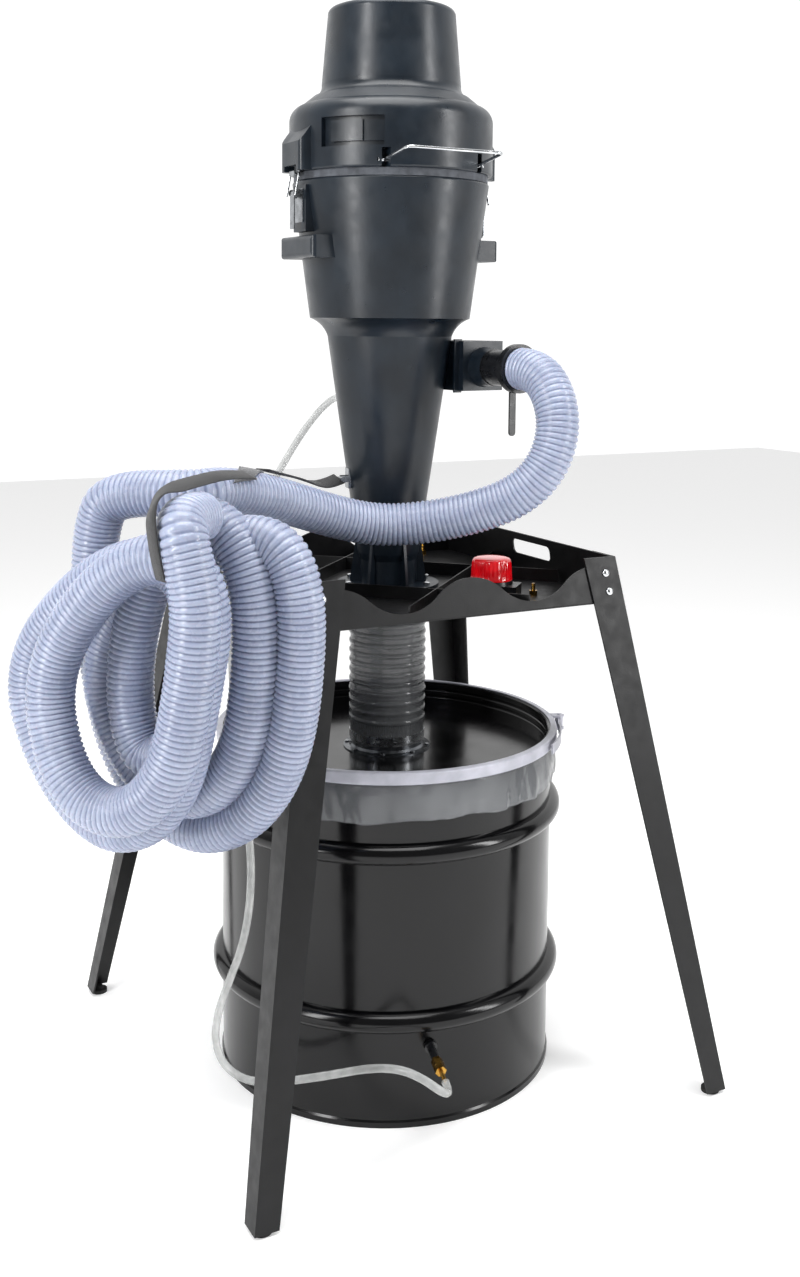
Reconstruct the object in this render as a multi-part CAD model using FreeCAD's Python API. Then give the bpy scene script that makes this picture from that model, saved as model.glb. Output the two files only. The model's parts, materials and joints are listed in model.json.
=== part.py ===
"""Portable two-stage dust extractor: a cyclone separator with a motor and filter head,
carried on a four-legged steel stand over a 35 gallon open-head drum.

Millimetres, +Z up. The origin is on the floor under the cyclone's axis, midway between
the feet. The stand's front rail faces -Y.
"""

import FreeCAD
import Part
import math
import os

V = FreeCAD.Vector

# ---------------------------------------------------------------- driving dimensions

# drum: 22.5 inch body, open head, two rolling hoops
DRUM_R = 287.0
DRUM_WALL = 1.5
DRUM_H = 574.0
DRUM_BASE_Z = 12.0          # underside of the raised bottom
CHIME_R = 289.5
CHIME_H = 9.0
HOOP_R = 304.0
HOOP_HALF = 17.0
HOOP_Z = (175.0, 450.0)
CURL_R = 294.5
CURL_H = 8.0

# lid and lever-lock ring
LID_T = 1.5
LID_FIT = 3.0               # gap between the lid's wall and the drum's wall
LID_RIM_H = 8.0
LID_FLOOR_Z = 540.0
RING_T = 2.0
RING_FIT = 0.4
RING_LIP = 9.0
EAR_T = 4.0
EAR_FIT = 0.4
EAR_BELOW = 6.0             # the lower ear stands this far below the ring
LEVER_ANGLE = -20.0         # where the ring's lever is hinged
LEVER_TIP_ANGLE = -52.0
LEVER_T = 3.0
LEVER_PIN_R = 3.0
LEVER_STANDOFF = 13.0
PIN_FIT = 0.05

# bag liner turned down over the drum
LINER_T = 2.0
LINER_DROP = 66.0

# five inch clear drop hose
HOSE5_R = 64.8
HOSE5_CREST_R = 67.0
HOSE5_WALL = 1.2
HOSE5_PITCH = 15.6
COLLAR_R = 63.0
COLLAR_WALL = 2.0
COLLAR_H = 58.0
COLLAR_FLANGE_R = 76.0
HOSE5_START = 14.0          # the hose's lower edge above the lid's floor
HOSE_CUFF = 32.0
CLAMP_W = 12.7
CLAMP_T = 1.0

# stand: the four sides lean in, so legs and rails share one taper
STAND_TOP_Z = 897.0
STAND_TOP_HALF = 278.2      # half side of the stand at the top, outside the legs
STAND_FOOT_HALF = 424.3     # the same on the floor
LEG_T = 3.0
LEG_W_TOP = 62.0
LEG_W_FOOT = 38.0
FOOT_R = 15.0
FOOT_H = 6.0
RAIL_T = 2.5
RAIL_Z0 = 825.0             # the rails stand on the tray plate
WAVE_CREST_Z = 883.0
WAVE_VALLEY_Z = 837.0
WAVE_HALF = 117.5           # crest to valley
SLOT_L = 120.0
SLOT_Z0 = 858.0
SLOT_Z1 = 884.0
SLOT_SHIFT = 28.0
TRAY_T = 3.0
TRAY_HOLE_R = 54.0
RIB_T = 2.0
RIB_H = 22.0
RIB_OFFSET = 121.0
RIB_GAP = 0.4

# cyclone: flange, spigot and cone in one moulding
FLANGE_R = 88.0
FLANGE_T = 6.0
SPIGOT_R = 49.0
SPIGOT_TOP_Z = 878.0
CONE_TOP_R = 106.0
CONE_TOP_Z = 1255.0
CONE_WALL = 4.0
FUNNEL_R = 136.0
FUNNEL_TOP_Z = 1285.0
GUSSETS = 6
GUSSET_T = 5.0
GUSSET_FOOT_R = 66.0
GUSSET_TOP_Z = 905.0
GUSSET_TURN = -27.6

# inlet scroll, set off to one side so that the air enters along the wall
INLET_TURN = -83.6          # the way the inlet's mouth faces
INLET_Z0 = 1164.0
INLET_Z1 = 1248.0
INLET_INNER = 78.0          # the duct's inner and outer walls from the axis
INLET_OUTER = 162.0
INLET_FACE = 106.0
INLET_WALL = 4.0
INLET_SWEEP = 140.0
INLET_COLLAR_R = 34.0
INLET_MOUTH_R = 31.2
INLET_COLLAR_L = 28.0
SIDE_FLANGE_T = 4.0
SIDE_FLANGE_OUT = 9.0

# hose cuff
CUFF_R = 30.0
CUFF_WALL = 3.0
CUFF_REACH = 58.0           # from the inlet's mouth to the back of the cuff's ring
CUFF_RING_R = 40.5
CUFF_RING_T = 12.0
CUFF_FIT = 0.3
TONGUE_W = 13.0
TONGUE_L = 74.0
TONGUE_T = 3.0

# filter barrel
BARREL_TOP_R = 166.0
BARREL_TOP_Z = 1510.0
BARREL_WALL = 5.0
LUG_REACH = 175.0
LUG_HALF = 65.0
LUG_Z0 = 1382.0
LUG_Z1 = 1418.0
LUG_FILLET = 8.0
PAD_HALF = 24.0
PAD_REACH = 168.0
PAD_Z0 = 1425.0
PAD_Z1 = 1500.0

# gasket and motor head
GASKET_R = 163.5
GASKET_T = 12.0
HEAD_R = 171.0
HEAD_SHOULDER_Z = 1622.0
NECK_R = 117.0
NECK_Z = 1667.0
NECK_TOP_R = 107.0
HEAD_TOP_Z = 1797.0
HEAD_CROWN = 5.0
BULGE_REACH = 185.0
BULGE_HALF = 40.0
BULGE_TOP_Z = 1602.0
BULGE_SLOPE = 34.0
POCKET_FROM = -158.0
POCKET_TO = -121.0
POCKET_Z0 = 1556.0
POCKET_Z1 = 1602.0
POCKET_DEEP = 9.0
POCKET_STEP = -133.0        # the raised panel ends here
NOTCH_ANGLES = (-120.0, -60.0)
NOTCH_HALF = 6.0
NOTCH_DEEP = 17.0
NOTCH_TOP_Z = 1552.0

# wire bail on the head
BAIL_WIRE_R = 2.6
BAIL_PIN_R = 3.2
BAIL_PIN_IN = 5.0           # how far each pin goes into the notch's cheeks
BAIL_PIVOT_Z = 1533.0
BAIL_OUT = 81.0
BAIL_RISE = 13.0
BAIL_BEND_R = 10.0

# draw latches
LATCH_PIN_Z = 1487.0
LATCH_PIN_OUT = 9.5         # pin's axis from the pad's face
LATCH_PIN_R = 2.0
LATCH_BASE_T = 1.6
LATCH_BASE_W = 30.0
LATCH_BASE_Z0 = 1440.0
LATCH_EAR_T = 1.6
LATCH_LEVER_W = 16.0
LATCH_LEVER_L = 58.0
LATCH_LEVER_T = 2.0
LATCH_WIRE_R = 1.6
LATCH_WIRE_HALF = 17.0
LATCH_WIRE_Z = 1519.0       # the wire's bar, in the keeper's hook
LATCH_WIRE_IN = 8.5         # the bar's axis from the pad's face
LATCH_WIRE_OUT = 15.5       # the legs' lower ends from the pad's face
LATCH_WIRE_DROP = 37.0
LATCH_FIT = 0.6
KEEPER_HALF = 10.0
KEEPER_T = 2.2
KEEPER_LIP = 5.0
RELIEF_H = 9.0              # the head's bulge is cut away this far above the joint

# warning beacon
BEACON_AT = (112.0, -160.0)
BEACON_TURN = -45.0
BEACON_BOX = (74.0, 52.0, 20.0)
BEACON_BOX_SHIFT = 10.0
BEACON_RING_R = 34.0
BEACON_RING_H = 7.0
BEACON_LENS_R = 35.0
BEACON_LENS_TOP_R = 31.0
BEACON_LENS_H = 38.0

# brass barbs
BARB_R = 3.6
BARB_HEX = 13.0
TRAY_BARBS = ((210.0, 255.0), (176.0, -190.0))
DRUM_BARB_ANGLE = -103.0
DRUM_BARB_Z = 134.0
DRUM_BARB_DIP = 10.0
DRUM_STEM_R = 6.5
DRUM_STEM_L = 38.0
DRUM_HEX_L = 26.0
DRUM_BARB_L = 24.0
CONE_BARB_ANGLE = 97.0
CONE_BARB_Z = 1146.0
CONE_BARB_L = 34.0

# hose strap and its clip on the cone
CLIP_ANGLE = 168.0
CLIP_Z = 1012.0
STRAP_W = 34.0
STRAP_T = 3.0
STRAP_ROUTE = [
    (-150.0, -28.0, 1016.0), (-215.0, -92.0, 1032.0), (-275.0, -146.0, 1046.0),
    (-330.0, -170.0, 1060.0),
]
CLIP_BAR_OUT = 13.0
CLIP_BAR_R = 3.5

# free hoses
SUCTION_R = 35.0
VACUUM_R = 6.35

# suction hose from the cuff to the coil, chosen point by point; it starts square to the cuff
SUCTION_FIRST_RUN = 44.0
SUCTION_ROUTE = [
    (153.0, -276.0, 1165.0),
    (151.0, -294.0, 1110.0), (133.0, -289.0, 1050.0), (98.0, -262.0, 1004.0),
    (45.0, -216.0, 975.0), (-20.0, -164.0, 955.0), (-92.0, -128.0, 951.0),
    (-166.0, -120.0, 970.0), (-236.0, -134.0, 994.0), (-305.0, -158.0, 1015.0),
    (-370.0, -184.0, 1029.0), (-426.0, -214.0, 1030.0),
]

# the coil is a flat, nearly round bundle, hung on edge outside the left rail
COIL_CENTRE = (-518.0, -245.0, 778.0)
COIL_FACE = (-0.816, -0.578, 0.0)
COIL_HALF_W = 256.0
COIL_HALF_H = 291.0
COIL_HOLE_AT = (40.0, 55.0)
COIL_HOLE_HALF_W = 33.0
COIL_HOLE_HALF_H = 130.0
COIL_THICK = 232.0
COIL_ROUND = 40.0
COIL_CLEAR = 8.0                # gap to the stand's legs and rails

# clear vacuum line from the cone, behind the coil, to the drum
VACUUM_FIRST_RUN = 42.0
VACUUM_LAST_RUN = 24.0
VACUUM_ROUTE = [
    (-36.0, 188.0, 1126.0), (-62.0, 191.0, 1097.0), (-97.0, 175.0, 1062.0),
    (-135.0, 150.0, 1023.0), (-180.0, 108.0, 985.0), (-230.0, 50.0, 948.0),
    (-284.0, -22.0, 915.0), (-318.0, -78.0, 838.0), (-334.0, -115.0, 750.0),
    (-336.0, -132.0, 650.0), (-326.0, -135.0, 550.0), (-309.0, -131.0, 450.0),
    (-308.0, -127.0, 362.0), (-317.0, -116.0, 286.0), (-334.0, -103.0, 228.0),
    (-350.0, -94.0, 178.0), (-358.0, -92.0, 130.0), (-353.0, -106.0, 96.0),
    (-338.0, -136.0, 80.0), (-314.0, -171.0, 80.0), (-279.0, -215.0, 96.0),
    (-234.0, -267.0, 120.0), (-191.0, -318.0, 146.0), (-163.0, -362.0, 159.0),
    (-140.0, -392.0, 153.0), (-111.0, -404.0, 128.0),
]

os.makedirs("parts", exist_ok=True)


# ---------------------------------------------------------------- helpers

def save(name, shape):
    """Write one node."""
    shape.exportStep("parts/" + name + ".step")


def fused(shapes):
    """Join solids that touch into one."""
    whole = shapes[0]
    for other in shapes[1:]:
        whole = whole.fuse(other)
    return whole.removeSplitter()


def at_angle(shape, degrees):
    """Turn a copy of a shape about the Z axis."""
    turned = shape.copy()
    turned.rotate(V(0, 0, 0), V(0, 0, 1), degrees)
    return turned


def polar(radius, degrees, z=0.0):
    """A point given by its distance from the axis and its angle."""
    a = math.radians(degrees)
    return V(radius * math.cos(a), radius * math.sin(a), z)


def outline(start, steps):
    """A closed wire in the XZ plane. A step is (r, z), or (r, z, r, z) for an arc's middle and end."""
    here = V(start[0], 0, start[1])
    first = here
    edges = []
    for step in steps:
        end = V(step[-2], 0, step[-1])
        if len(step) == 4:
            edges.append(Part.Arc(here, V(step[0], 0, step[1]), end).toShape())
        else:
            edges.append(Part.LineSegment(here, end).toShape())
        here = end
    if here.distanceToPoint(first) > 1e-6:
        edges.append(Part.LineSegment(here, first).toShape())
    return Part.Wire(edges)


def revolved(start, steps, degrees=360.0):
    """A solid of revolution about Z from an outline in the XZ plane."""
    face = Part.Face(outline(start, steps))
    return face.revolve(V(0, 0, 0), V(0, 0, 1), degrees)


def tube_ring(r_in, r_out, z0, z1):
    """A plain round tube along Z."""
    outer = Part.makeCylinder(r_out, z1 - z0, V(0, 0, z0))
    return outer.cut(Part.makeCylinder(r_in, z1 - z0 + 2, V(0, 0, z0 - 1)))


def block(x0, x1, y0, y1, z0, z1):
    """A box by its limits."""
    return Part.makeBox(x1 - x0, y1 - y0, z1 - z0, V(x0, y0, z0))


def rod(start, end, radius):
    """A round bar between two points."""
    run = end - start
    return Part.makeCylinder(radius, run.Length, start, run)


def route_wire(points):
    """Straight runs joined by tangent arcs. Each arc is as large as its two runs allow."""
    points = [V(*p) for p in points]
    edges = []
    radii = []
    here = points[0]
    for before, corner, after in zip(points, points[1:], points[2:]):
        back = (before - corner).normalize()
        ahead = (after - corner).normalize()
        half_turn = 0.5 * (math.pi - back.getAngle(ahead))
        reach = 0.45 * min(before.distanceToPoint(corner), after.distanceToPoint(corner))
        radius = reach / math.tan(half_turn)
        start = corner + back * reach
        end = corner + ahead * reach
        inward = (back + ahead).normalize()
        middle = corner + inward * (radius / math.cos(half_turn) - radius)
        edges.append(Part.LineSegment(here, start).toShape())
        edges.append(Part.Arc(start, middle, end).toShape())
        radii.append(radius)
        here = end
    edges.append(Part.LineSegment(here, points[-1]).toShape())
    return Part.Wire(edges), radii


def hose(name, points, radius):
    """A plain round hose along a route, with its length and tightest bends printed."""
    wire, radii = route_wire(points)
    direction = V(*points[1]) - V(*points[0])
    section = Part.Wire([Part.Circle(V(*points[0]), direction, radius).toShape()])
    solid = wire.makePipeShell([section], True, False)
    share = solid.Volume / (math.pi * radius ** 2 * wire.Length)
    print(name, "length", round(wire.Length), "tightest", [round(r) for r in sorted(radii)[:4]],
          "volume share", round(share, 4))
    return solid


def bent_wire(points, bend, radius):
    """A round wire through corner points, bent to one inside radius at each corner."""
    points = [V(*p) for p in points]
    edges = []
    here = points[0]
    for before, corner, after in zip(points, points[1:], points[2:]):
        back = (before - corner).normalize()
        ahead = (after - corner).normalize()
        half_turn = 0.5 * (math.pi - back.getAngle(ahead))
        reach = bend * math.tan(half_turn)
        middle = corner + (back + ahead).normalize() * (bend / math.cos(half_turn) - bend)
        edges.append(Part.LineSegment(here, corner + back * reach).toShape())
        edges.append(Part.Arc(corner + back * reach, middle, corner + ahead * reach).toShape())
        here = corner + ahead * reach
    edges.append(Part.LineSegment(here, points[-1]).toShape())
    section = Part.Wire([Part.Circle(points[0], points[1] - points[0], radius).toShape()])
    return Part.Wire(edges).makePipeShell([section], True, False)


# ---------------------------------------------------------------- drum, lid and ring

def hoop_steps(z, r_body, r_hoop, upward):
    """The half-round swelling of one rolling hoop, going up or down the wall."""
    low = (r_body, z - HOOP_HALF)
    high = (r_body, z + HOOP_HALF)
    if upward:
        return [low, (r_hoop, z, high[0], high[1])]
    return [high, (r_hoop, z, low[0], low[1])]


def drum_shell():
    inner = DRUM_R - DRUM_WALL
    steps = [(inner, 0.0), (CHIME_R, 0.0), (CHIME_R, CHIME_H), (DRUM_R, CHIME_H + 3)]
    for z in HOOP_Z:
        steps += hoop_steps(z, DRUM_R, HOOP_R, True)
    steps += [(DRUM_R, DRUM_H - CURL_H), (CURL_R - 2, DRUM_H - CURL_H),
              (CURL_R, DRUM_H - CURL_H + 2), (CURL_R, DRUM_H - 2), (CURL_R - 2, DRUM_H),
              (inner, DRUM_H)]
    for z in reversed(HOOP_Z):
        steps += hoop_steps(z, inner, HOOP_R - DRUM_WALL, False)
    steps += [(inner, DRUM_BASE_Z + DRUM_WALL), (0.0, DRUM_BASE_Z + DRUM_WALL), (0.0, DRUM_BASE_Z),
              (inner, DRUM_BASE_Z)]
    return revolved((inner, 0.0), steps[1:])


def lid_levels():
    """The lid's wall radius and its rim's underside and top."""
    wall = DRUM_R - DRUM_WALL - LID_FIT
    return wall, DRUM_H, DRUM_H + LID_RIM_H


def drum_lid():
    wall, seat, top = lid_levels()
    inner = wall - LID_T
    bead = 1.6
    low = LID_FLOOR_Z + 14
    high = LID_FLOOR_Z + 27
    steps = [
        (COLLAR_R, LID_FLOOR_Z - LID_T), (wall, LID_FLOOR_Z - LID_T), (wall, low - 4),
        (wall + bead, low, wall, low + 4), (wall, high - 4), (wall + bead, high, wall, high + 4),
        (wall, seat), (CURL_R - 1, seat), (CURL_R, seat + 1), (CURL_R, top - 2),
        (CURL_R - 2, top), (inner + 2, top), (inner, top - 2), (inner, high + 4),
        (inner + bead, high, inner, high - 4), (inner, low + 4), (inner + bead, low, inner, low - 4),
        (inner, LID_FLOOR_Z), (COLLAR_R, LID_FLOOR_Z),
    ]
    return revolved(steps[0], steps[1:])


def ring_limits():
    """The lever-lock ring's inside and outside radius, bottom and top."""
    inside = CURL_R + RING_FIT
    bottom = DRUM_H - CURL_H - RING_T
    top = DRUM_H + LID_RIM_H + RING_T
    return inside, inside + RING_T, bottom, top


def lever_pivot():
    """The ring lever's pin, on the floor plan."""
    outside = ring_limits()[1]
    return polar(outside + LEVER_STANDOFF, LEVER_ANGLE)


def lock_ring():
    inside, outside, bottom, top = ring_limits()
    lip = inside - RING_LIP
    low_lip = DRUM_R + RING_FIT
    round_off = 3.0
    steps = [
        (outside - round_off, bottom), (outside - 0.9, bottom + 0.9, outside, bottom + round_off),
        (outside, top - round_off), (outside - 0.9, top - 0.9, outside - round_off, top),
        (lip, top), (lip, top - RING_T), (inside, top - RING_T), (inside, bottom + RING_T),
        (low_lip, bottom + RING_T), (low_lip, bottom),
    ]
    channel = revolved((low_lip, bottom), steps)
    pivot = lever_pivot()
    ears = []
    for z0, z1 in ((bottom - EAR_BELOW, bottom - EAR_BELOW + EAR_T), (top - EAR_T, top)):
        ear = block(outside - 1, outside + LEVER_STANDOFF, -9, 9, z0, z1)
        ear = at_angle(ear, LEVER_ANGLE).fuse(Part.makeCylinder(9, z1 - z0, V(pivot.x, pivot.y, z0)))
        ears.append(ear)
    web = block(outside - 1.5, outside + 2.5, -9, 9, bottom - EAR_BELOW, top)
    solid = fused([channel, at_angle(web, LEVER_ANGLE)] + ears)
    hole = Part.makeCylinder(LEVER_PIN_R + PIN_FIT, 60, V(pivot.x, pivot.y, bottom - 20))
    return solid.cut(hole)


def ring_lever():
    """A curved arm on a pin between the ring's ears. It swings out about the pin."""
    inside, outside, bottom, top = ring_limits()
    pivot = lever_pivot()
    z0 = bottom - EAR_BELOW + EAR_T + EAR_FIT
    z1 = top - EAR_T - EAR_FIT
    arm_in = outside + 5.2
    sweep = LEVER_ANGLE - 7 - LEVER_TIP_ANGLE
    arm = revolved((arm_in, z0), [(arm_in + LEVER_T, z0), (arm_in + LEVER_T, z1), (arm_in, z1)],
                   sweep)
    arm = at_angle(arm, LEVER_TIP_ANGLE)
    knuckle = Part.makeCylinder(7.0, z1 - z0, V(pivot.x, pivot.y, z0))
    root = polar(arm_in + LEVER_T / 2, LEVER_ANGLE - 8)
    run = V(root.x - pivot.x, root.y - pivot.y, 0)
    link = Part.makeBox(run.Length + 3, LEVER_T + 1.5, z1 - z0, V(0, -(LEVER_T + 1.5) / 2, 0))
    link.rotate(V(0, 0, 0), V(0, 0, 1), math.degrees(math.atan2(run.y, run.x)))
    link.translate(V(pivot.x, pivot.y, z0))
    pin = Part.makeCylinder(LEVER_PIN_R, top - bottom + EAR_BELOW + 3,
                            V(pivot.x, pivot.y, bottom - EAR_BELOW - 1.5))
    return fused([arm, knuckle, link, pin])


def bag_liner():
    """The bag's cuff, turned down outside the drum and gripped under the ring."""
    inside, outside, bottom, top = ring_limits()
    r1 = inside - 1
    return tube_ring(r1 - LINER_T, r1, bottom - LINER_DROP, bottom)


# ---------------------------------------------------------------- drop hose

def lid_collar():
    inner = COLLAR_R - COLLAR_WALL
    steps = [
        (COLLAR_FLANGE_R, LID_FLOOR_Z), (COLLAR_FLANGE_R, LID_FLOOR_Z + 2),
        (COLLAR_R + 3, LID_FLOOR_Z + 3), (COLLAR_R, LID_FLOOR_Z + 7),
        (COLLAR_R, LID_FLOOR_Z + COLLAR_H), (inner, LID_FLOOR_Z + COLLAR_H),
        (inner, LID_FLOOR_Z - LID_T), (COLLAR_R, LID_FLOOR_Z - LID_T),
    ]
    return revolved((COLLAR_R, LID_FLOOR_Z), steps)


def tray_levels():
    """The tray's underside and top."""
    return RAIL_Z0 - TRAY_T, RAIL_Z0


def outlet_collar():
    """The steel collar under the tray that the drop hose hangs from."""
    under = tray_levels()[0]
    inner = COLLAR_R - COLLAR_WALL
    steps = [
        (COLLAR_FLANGE_R, under), (COLLAR_FLANGE_R, under - 2), (COLLAR_R, under - 2),
        (COLLAR_R, under - COLLAR_H), (inner, under - COLLAR_H),
    ]
    return revolved((inner, under), steps)


def hose_span():
    """The drop hose's lower and upper edge."""
    return LID_FLOOR_Z + HOSE5_START, tray_levels()[0] - 3.0


def drop_hose():
    z0, z1 = hose_span()
    inner = COLLAR_R
    count = int((z1 - z0 - 2 * HOSE_CUFF) / HOSE5_PITCH)
    pitch = (z1 - z0 - 2 * HOSE_CUFF) / count
    outer_steps = [(HOSE5_R, z0)]
    inner_steps = []
    for i in range(count):
        a = z0 + HOSE_CUFF + i * pitch
        outer_steps += [(HOSE5_R, a + 0.2 * pitch),
                        (HOSE5_CREST_R, a + 0.5 * pitch, HOSE5_R, a + 0.8 * pitch)]
    outer_steps += [(HOSE5_R, z1), (inner, z1)]
    for i in reversed(range(count)):
        a = z0 + HOSE_CUFF + i * pitch
        inner_steps += [(inner, a + 0.75 * pitch),
                        (HOSE5_CREST_R - HOSE5_WALL, a + 0.5 * pitch, inner, a + 0.25 * pitch)]
    return revolved((inner, z0), outer_steps + inner_steps)


def band_clamp(z, screw_angle):
    """A worm-drive band round a hose end, with its screw housing."""
    r = HOSE5_R
    band = tube_ring(r, r + CLAMP_T, z, z + CLAMP_W)
    housing = block(r + 0.2, r + 9, -12, 12, z - 1, z + CLAMP_W + 1)
    screw = Part.makeCylinder(3.6, 34, V(r + 5.4, -17, z + CLAMP_W / 2), V(0, 1, 0))
    return fused([band, at_angle(housing, screw_angle), at_angle(screw, screw_angle)])


# ---------------------------------------------------------------- stand

def stand_half(z):
    """Half the stand's outside width at a height."""
    return STAND_TOP_HALF + (STAND_TOP_Z - z) * (STAND_FOOT_HALF - STAND_TOP_HALF) / STAND_TOP_Z


def stand_lean():
    """The lean of the stand's sides from upright, in degrees."""
    return math.degrees(math.atan((STAND_FOOT_HALF - STAND_TOP_HALF) / STAND_TOP_Z))


def leg_section(z, width):
    """A leg's angle section at a height, as a closed wire."""
    h = stand_half(z)
    corners = [(h, h), (h - width, h), (h - width, h - LEG_T), (h - LEG_T, h - LEG_T),
               (h - LEG_T, h - width), (h, h - width), (h, h)]
    return Part.makePolygon([V(x, y, z) for x, y in corners])


def leg():
    """The leg at the +X +Y corner: a folded angle that narrows towards the foot."""
    return Part.makeLoft([leg_section(FOOT_H, LEG_W_FOOT), leg_section(STAND_TOP_Z, LEG_W_TOP)],
                         True, True)


def feet():
    centre = stand_half(FOOT_H) - LEG_T - FOOT_R
    pads = []
    for quarter in range(4):
        pad = Part.makeCylinder(FOOT_R, FOOT_H, V(centre, centre, 0))
        grip = Part.makeCone(FOOT_R * 0.6, FOOT_R * 0.45, FOOT_H, V(centre, centre, FOOT_H))
        pads.append(at_angle(pad.fuse(grip), 90 * quarter))
    return Part.makeCompound([p for p in pads])


def lean_plate(edges_xz, thickness, outer_half, z_ref):
    """Extrude an outline drawn in XZ into a plate whose outer face leans with the stand's front."""
    lean = math.radians(stand_lean())
    plate = Part.Face(Part.Wire(edges_xz)).extrude(V(0, thickness, 0))
    plate.translate(V(0, 0, -z_ref))
    stretch = FreeCAD.Matrix()
    stretch.scale(V(1, 1, 1 / math.cos(lean)))
    plate = plate.transformGeometry(stretch)
    plate.rotate(V(0, 0, 0), V(1, 0, 0), -math.degrees(lean))
    plate.translate(V(0, -outer_half, z_ref))
    return plate


def line(a, b):
    return Part.LineSegment(V(a[0], 0, a[1]), V(b[0], 0, b[1])).toShape()


def arc(a, m, b):
    return Part.Arc(V(a[0], 0, a[1]), V(m[0], 0, m[1]), V(b[0], 0, b[1])).toShape()


def wave_edges(x_start, x_end):
    """The waved top edge as equal arcs, from x_start to x_end, crest at the middle and the ends."""
    drop = 0.5 * (WAVE_CREST_Z - WAVE_VALLEY_Z)
    quarter = 0.5 * WAVE_HALF
    radius = (quarter ** 2 + drop ** 2) / (2 * drop)
    half = 0.5 * math.asin(quarter / radius)
    mid_x = radius * math.sin(half)
    mid_z = radius * (1 - math.cos(half))
    edges = [line((x_start, WAVE_CREST_Z), (-2 * WAVE_HALF, WAVE_CREST_Z))]
    x = -2 * WAVE_HALF
    for start_high in (True, False, True, False):
        z = WAVE_CREST_Z if start_high else WAVE_VALLEY_Z
        sign = -1 if start_high else 1
        bend = z + sign * drop
        edges.append(arc((x, z), (x + mid_x, z + sign * mid_z), (x + quarter, bend)))
        end = z + 2 * sign * drop
        x_mid = x + 2 * quarter
        edges.append(arc((x + quarter, bend), (x_mid - mid_x, end - sign * mid_z), (x_mid, end)))
        x = x_mid
    edges.append(line((x, WAVE_CREST_Z), (x_end, WAVE_CREST_Z)))
    return edges


def rail(waved, slot_shift, inset):
    """One side of the tray, facing -Y: a waved rail, or a straight one with a hand slot."""
    def end_x(z):
        return stand_half(z) - LEG_T - inset
    top = WAVE_CREST_Z if waved else STAND_TOP_Z
    bottom = RAIL_Z0 - RAIL_T
    low, high = end_x(bottom), end_x(top)
    if waved:
        top_edges = wave_edges(-high, high)
    else:
        top_edges = [line((-high, top), (high, top))]
    edges = [line((-low, bottom), (-high, top))] + top_edges + [
        line((high, top), (low, bottom)), line((low, bottom), (-low, bottom))]
    plate = lean_plate(edges, RAIL_T, stand_half(RAIL_Z0) - LEG_T, RAIL_Z0)
    plate = plate.cut(block(-400, 400, -400, 0, bottom - 10, RAIL_Z0))
    if not waved:
        corner = 9.0
        cutter = block(slot_shift - SLOT_L / 2, slot_shift + SLOT_L / 2, -400, 400, SLOT_Z0, SLOT_Z1)
        lower = [e for e in cutter.Edges
                 if abs(e.Vertexes[0].Z - SLOT_Z0) < 1e-6 and abs(e.Vertexes[-1].Z - SLOT_Z0) < 1e-6
                 and abs(e.Vertexes[0].X - e.Vertexes[-1].X) < 1e-6]
        upper = [e for e in cutter.Edges
                 if abs(e.Vertexes[0].Z - SLOT_Z1) < 1e-6 and abs(e.Vertexes[-1].Z - SLOT_Z1) < 1e-6
                 and abs(e.Vertexes[0].X - e.Vertexes[-1].X) < 1e-6]
        cutter = cutter.makeFillet(corner, lower + upper)
        cutter = cutter.common(block(-400, 400, -400, 0, 0, 1000))
        plate = plate.cut(cutter)
    return plate


def tray_plate():
    under, top = tray_levels()
    half = stand_half(top) - LEG_T
    plate = block(-half, half, -half, half, under, top)
    return plate.cut(Part.makeCylinder(TRAY_HOLE_R, 20, V(0, 0, under - 5)))


def tray_ribs():
    """Four upright strips in a hash pattern along the tray's diagonals: two long, two in thirds."""
    z0 = tray_levels()[1]
    half = stand_half(z0 + RIB_H) - LEG_T - RAIL_T / math.cos(math.radians(stand_lean())) - RIB_GAP
    keep = block(-half, half, -half, half, z0, z0 + RIB_H)
    strips = []
    for side in (-1, 1):
        strips.append(block(side * RIB_OFFSET - RIB_T / 2, side * RIB_OFFSET + RIB_T / 2,
                            -600, 600, z0, z0 + RIB_H))
        cuts = [-600, -RIB_OFFSET - RIB_T / 2 - RIB_GAP, -RIB_OFFSET + RIB_T / 2 + RIB_GAP,
                RIB_OFFSET - RIB_T / 2 - RIB_GAP, RIB_OFFSET + RIB_T / 2 + RIB_GAP, 600]
        for x0, x1 in zip(cuts[0::2], cuts[1::2]):
            strips.append(block(x0, x1, side * RIB_OFFSET - RIB_T / 2, side * RIB_OFFSET + RIB_T / 2,
                                z0, z0 + RIB_H))
    solids = []
    for strip in strips:
        solids += at_angle(strip, -45).common(keep).Solids
    return Part.makeCompound(solids)


# ---------------------------------------------------------------- cyclone

def cone_radius(z):
    """The cone's outside radius at a height."""
    share = (z - SPIGOT_TOP_Z) / (CONE_TOP_Z - SPIGOT_TOP_Z)
    return SPIGOT_R + 3.0 + share * (CONE_TOP_R - SPIGOT_R - 3.0)


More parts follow.
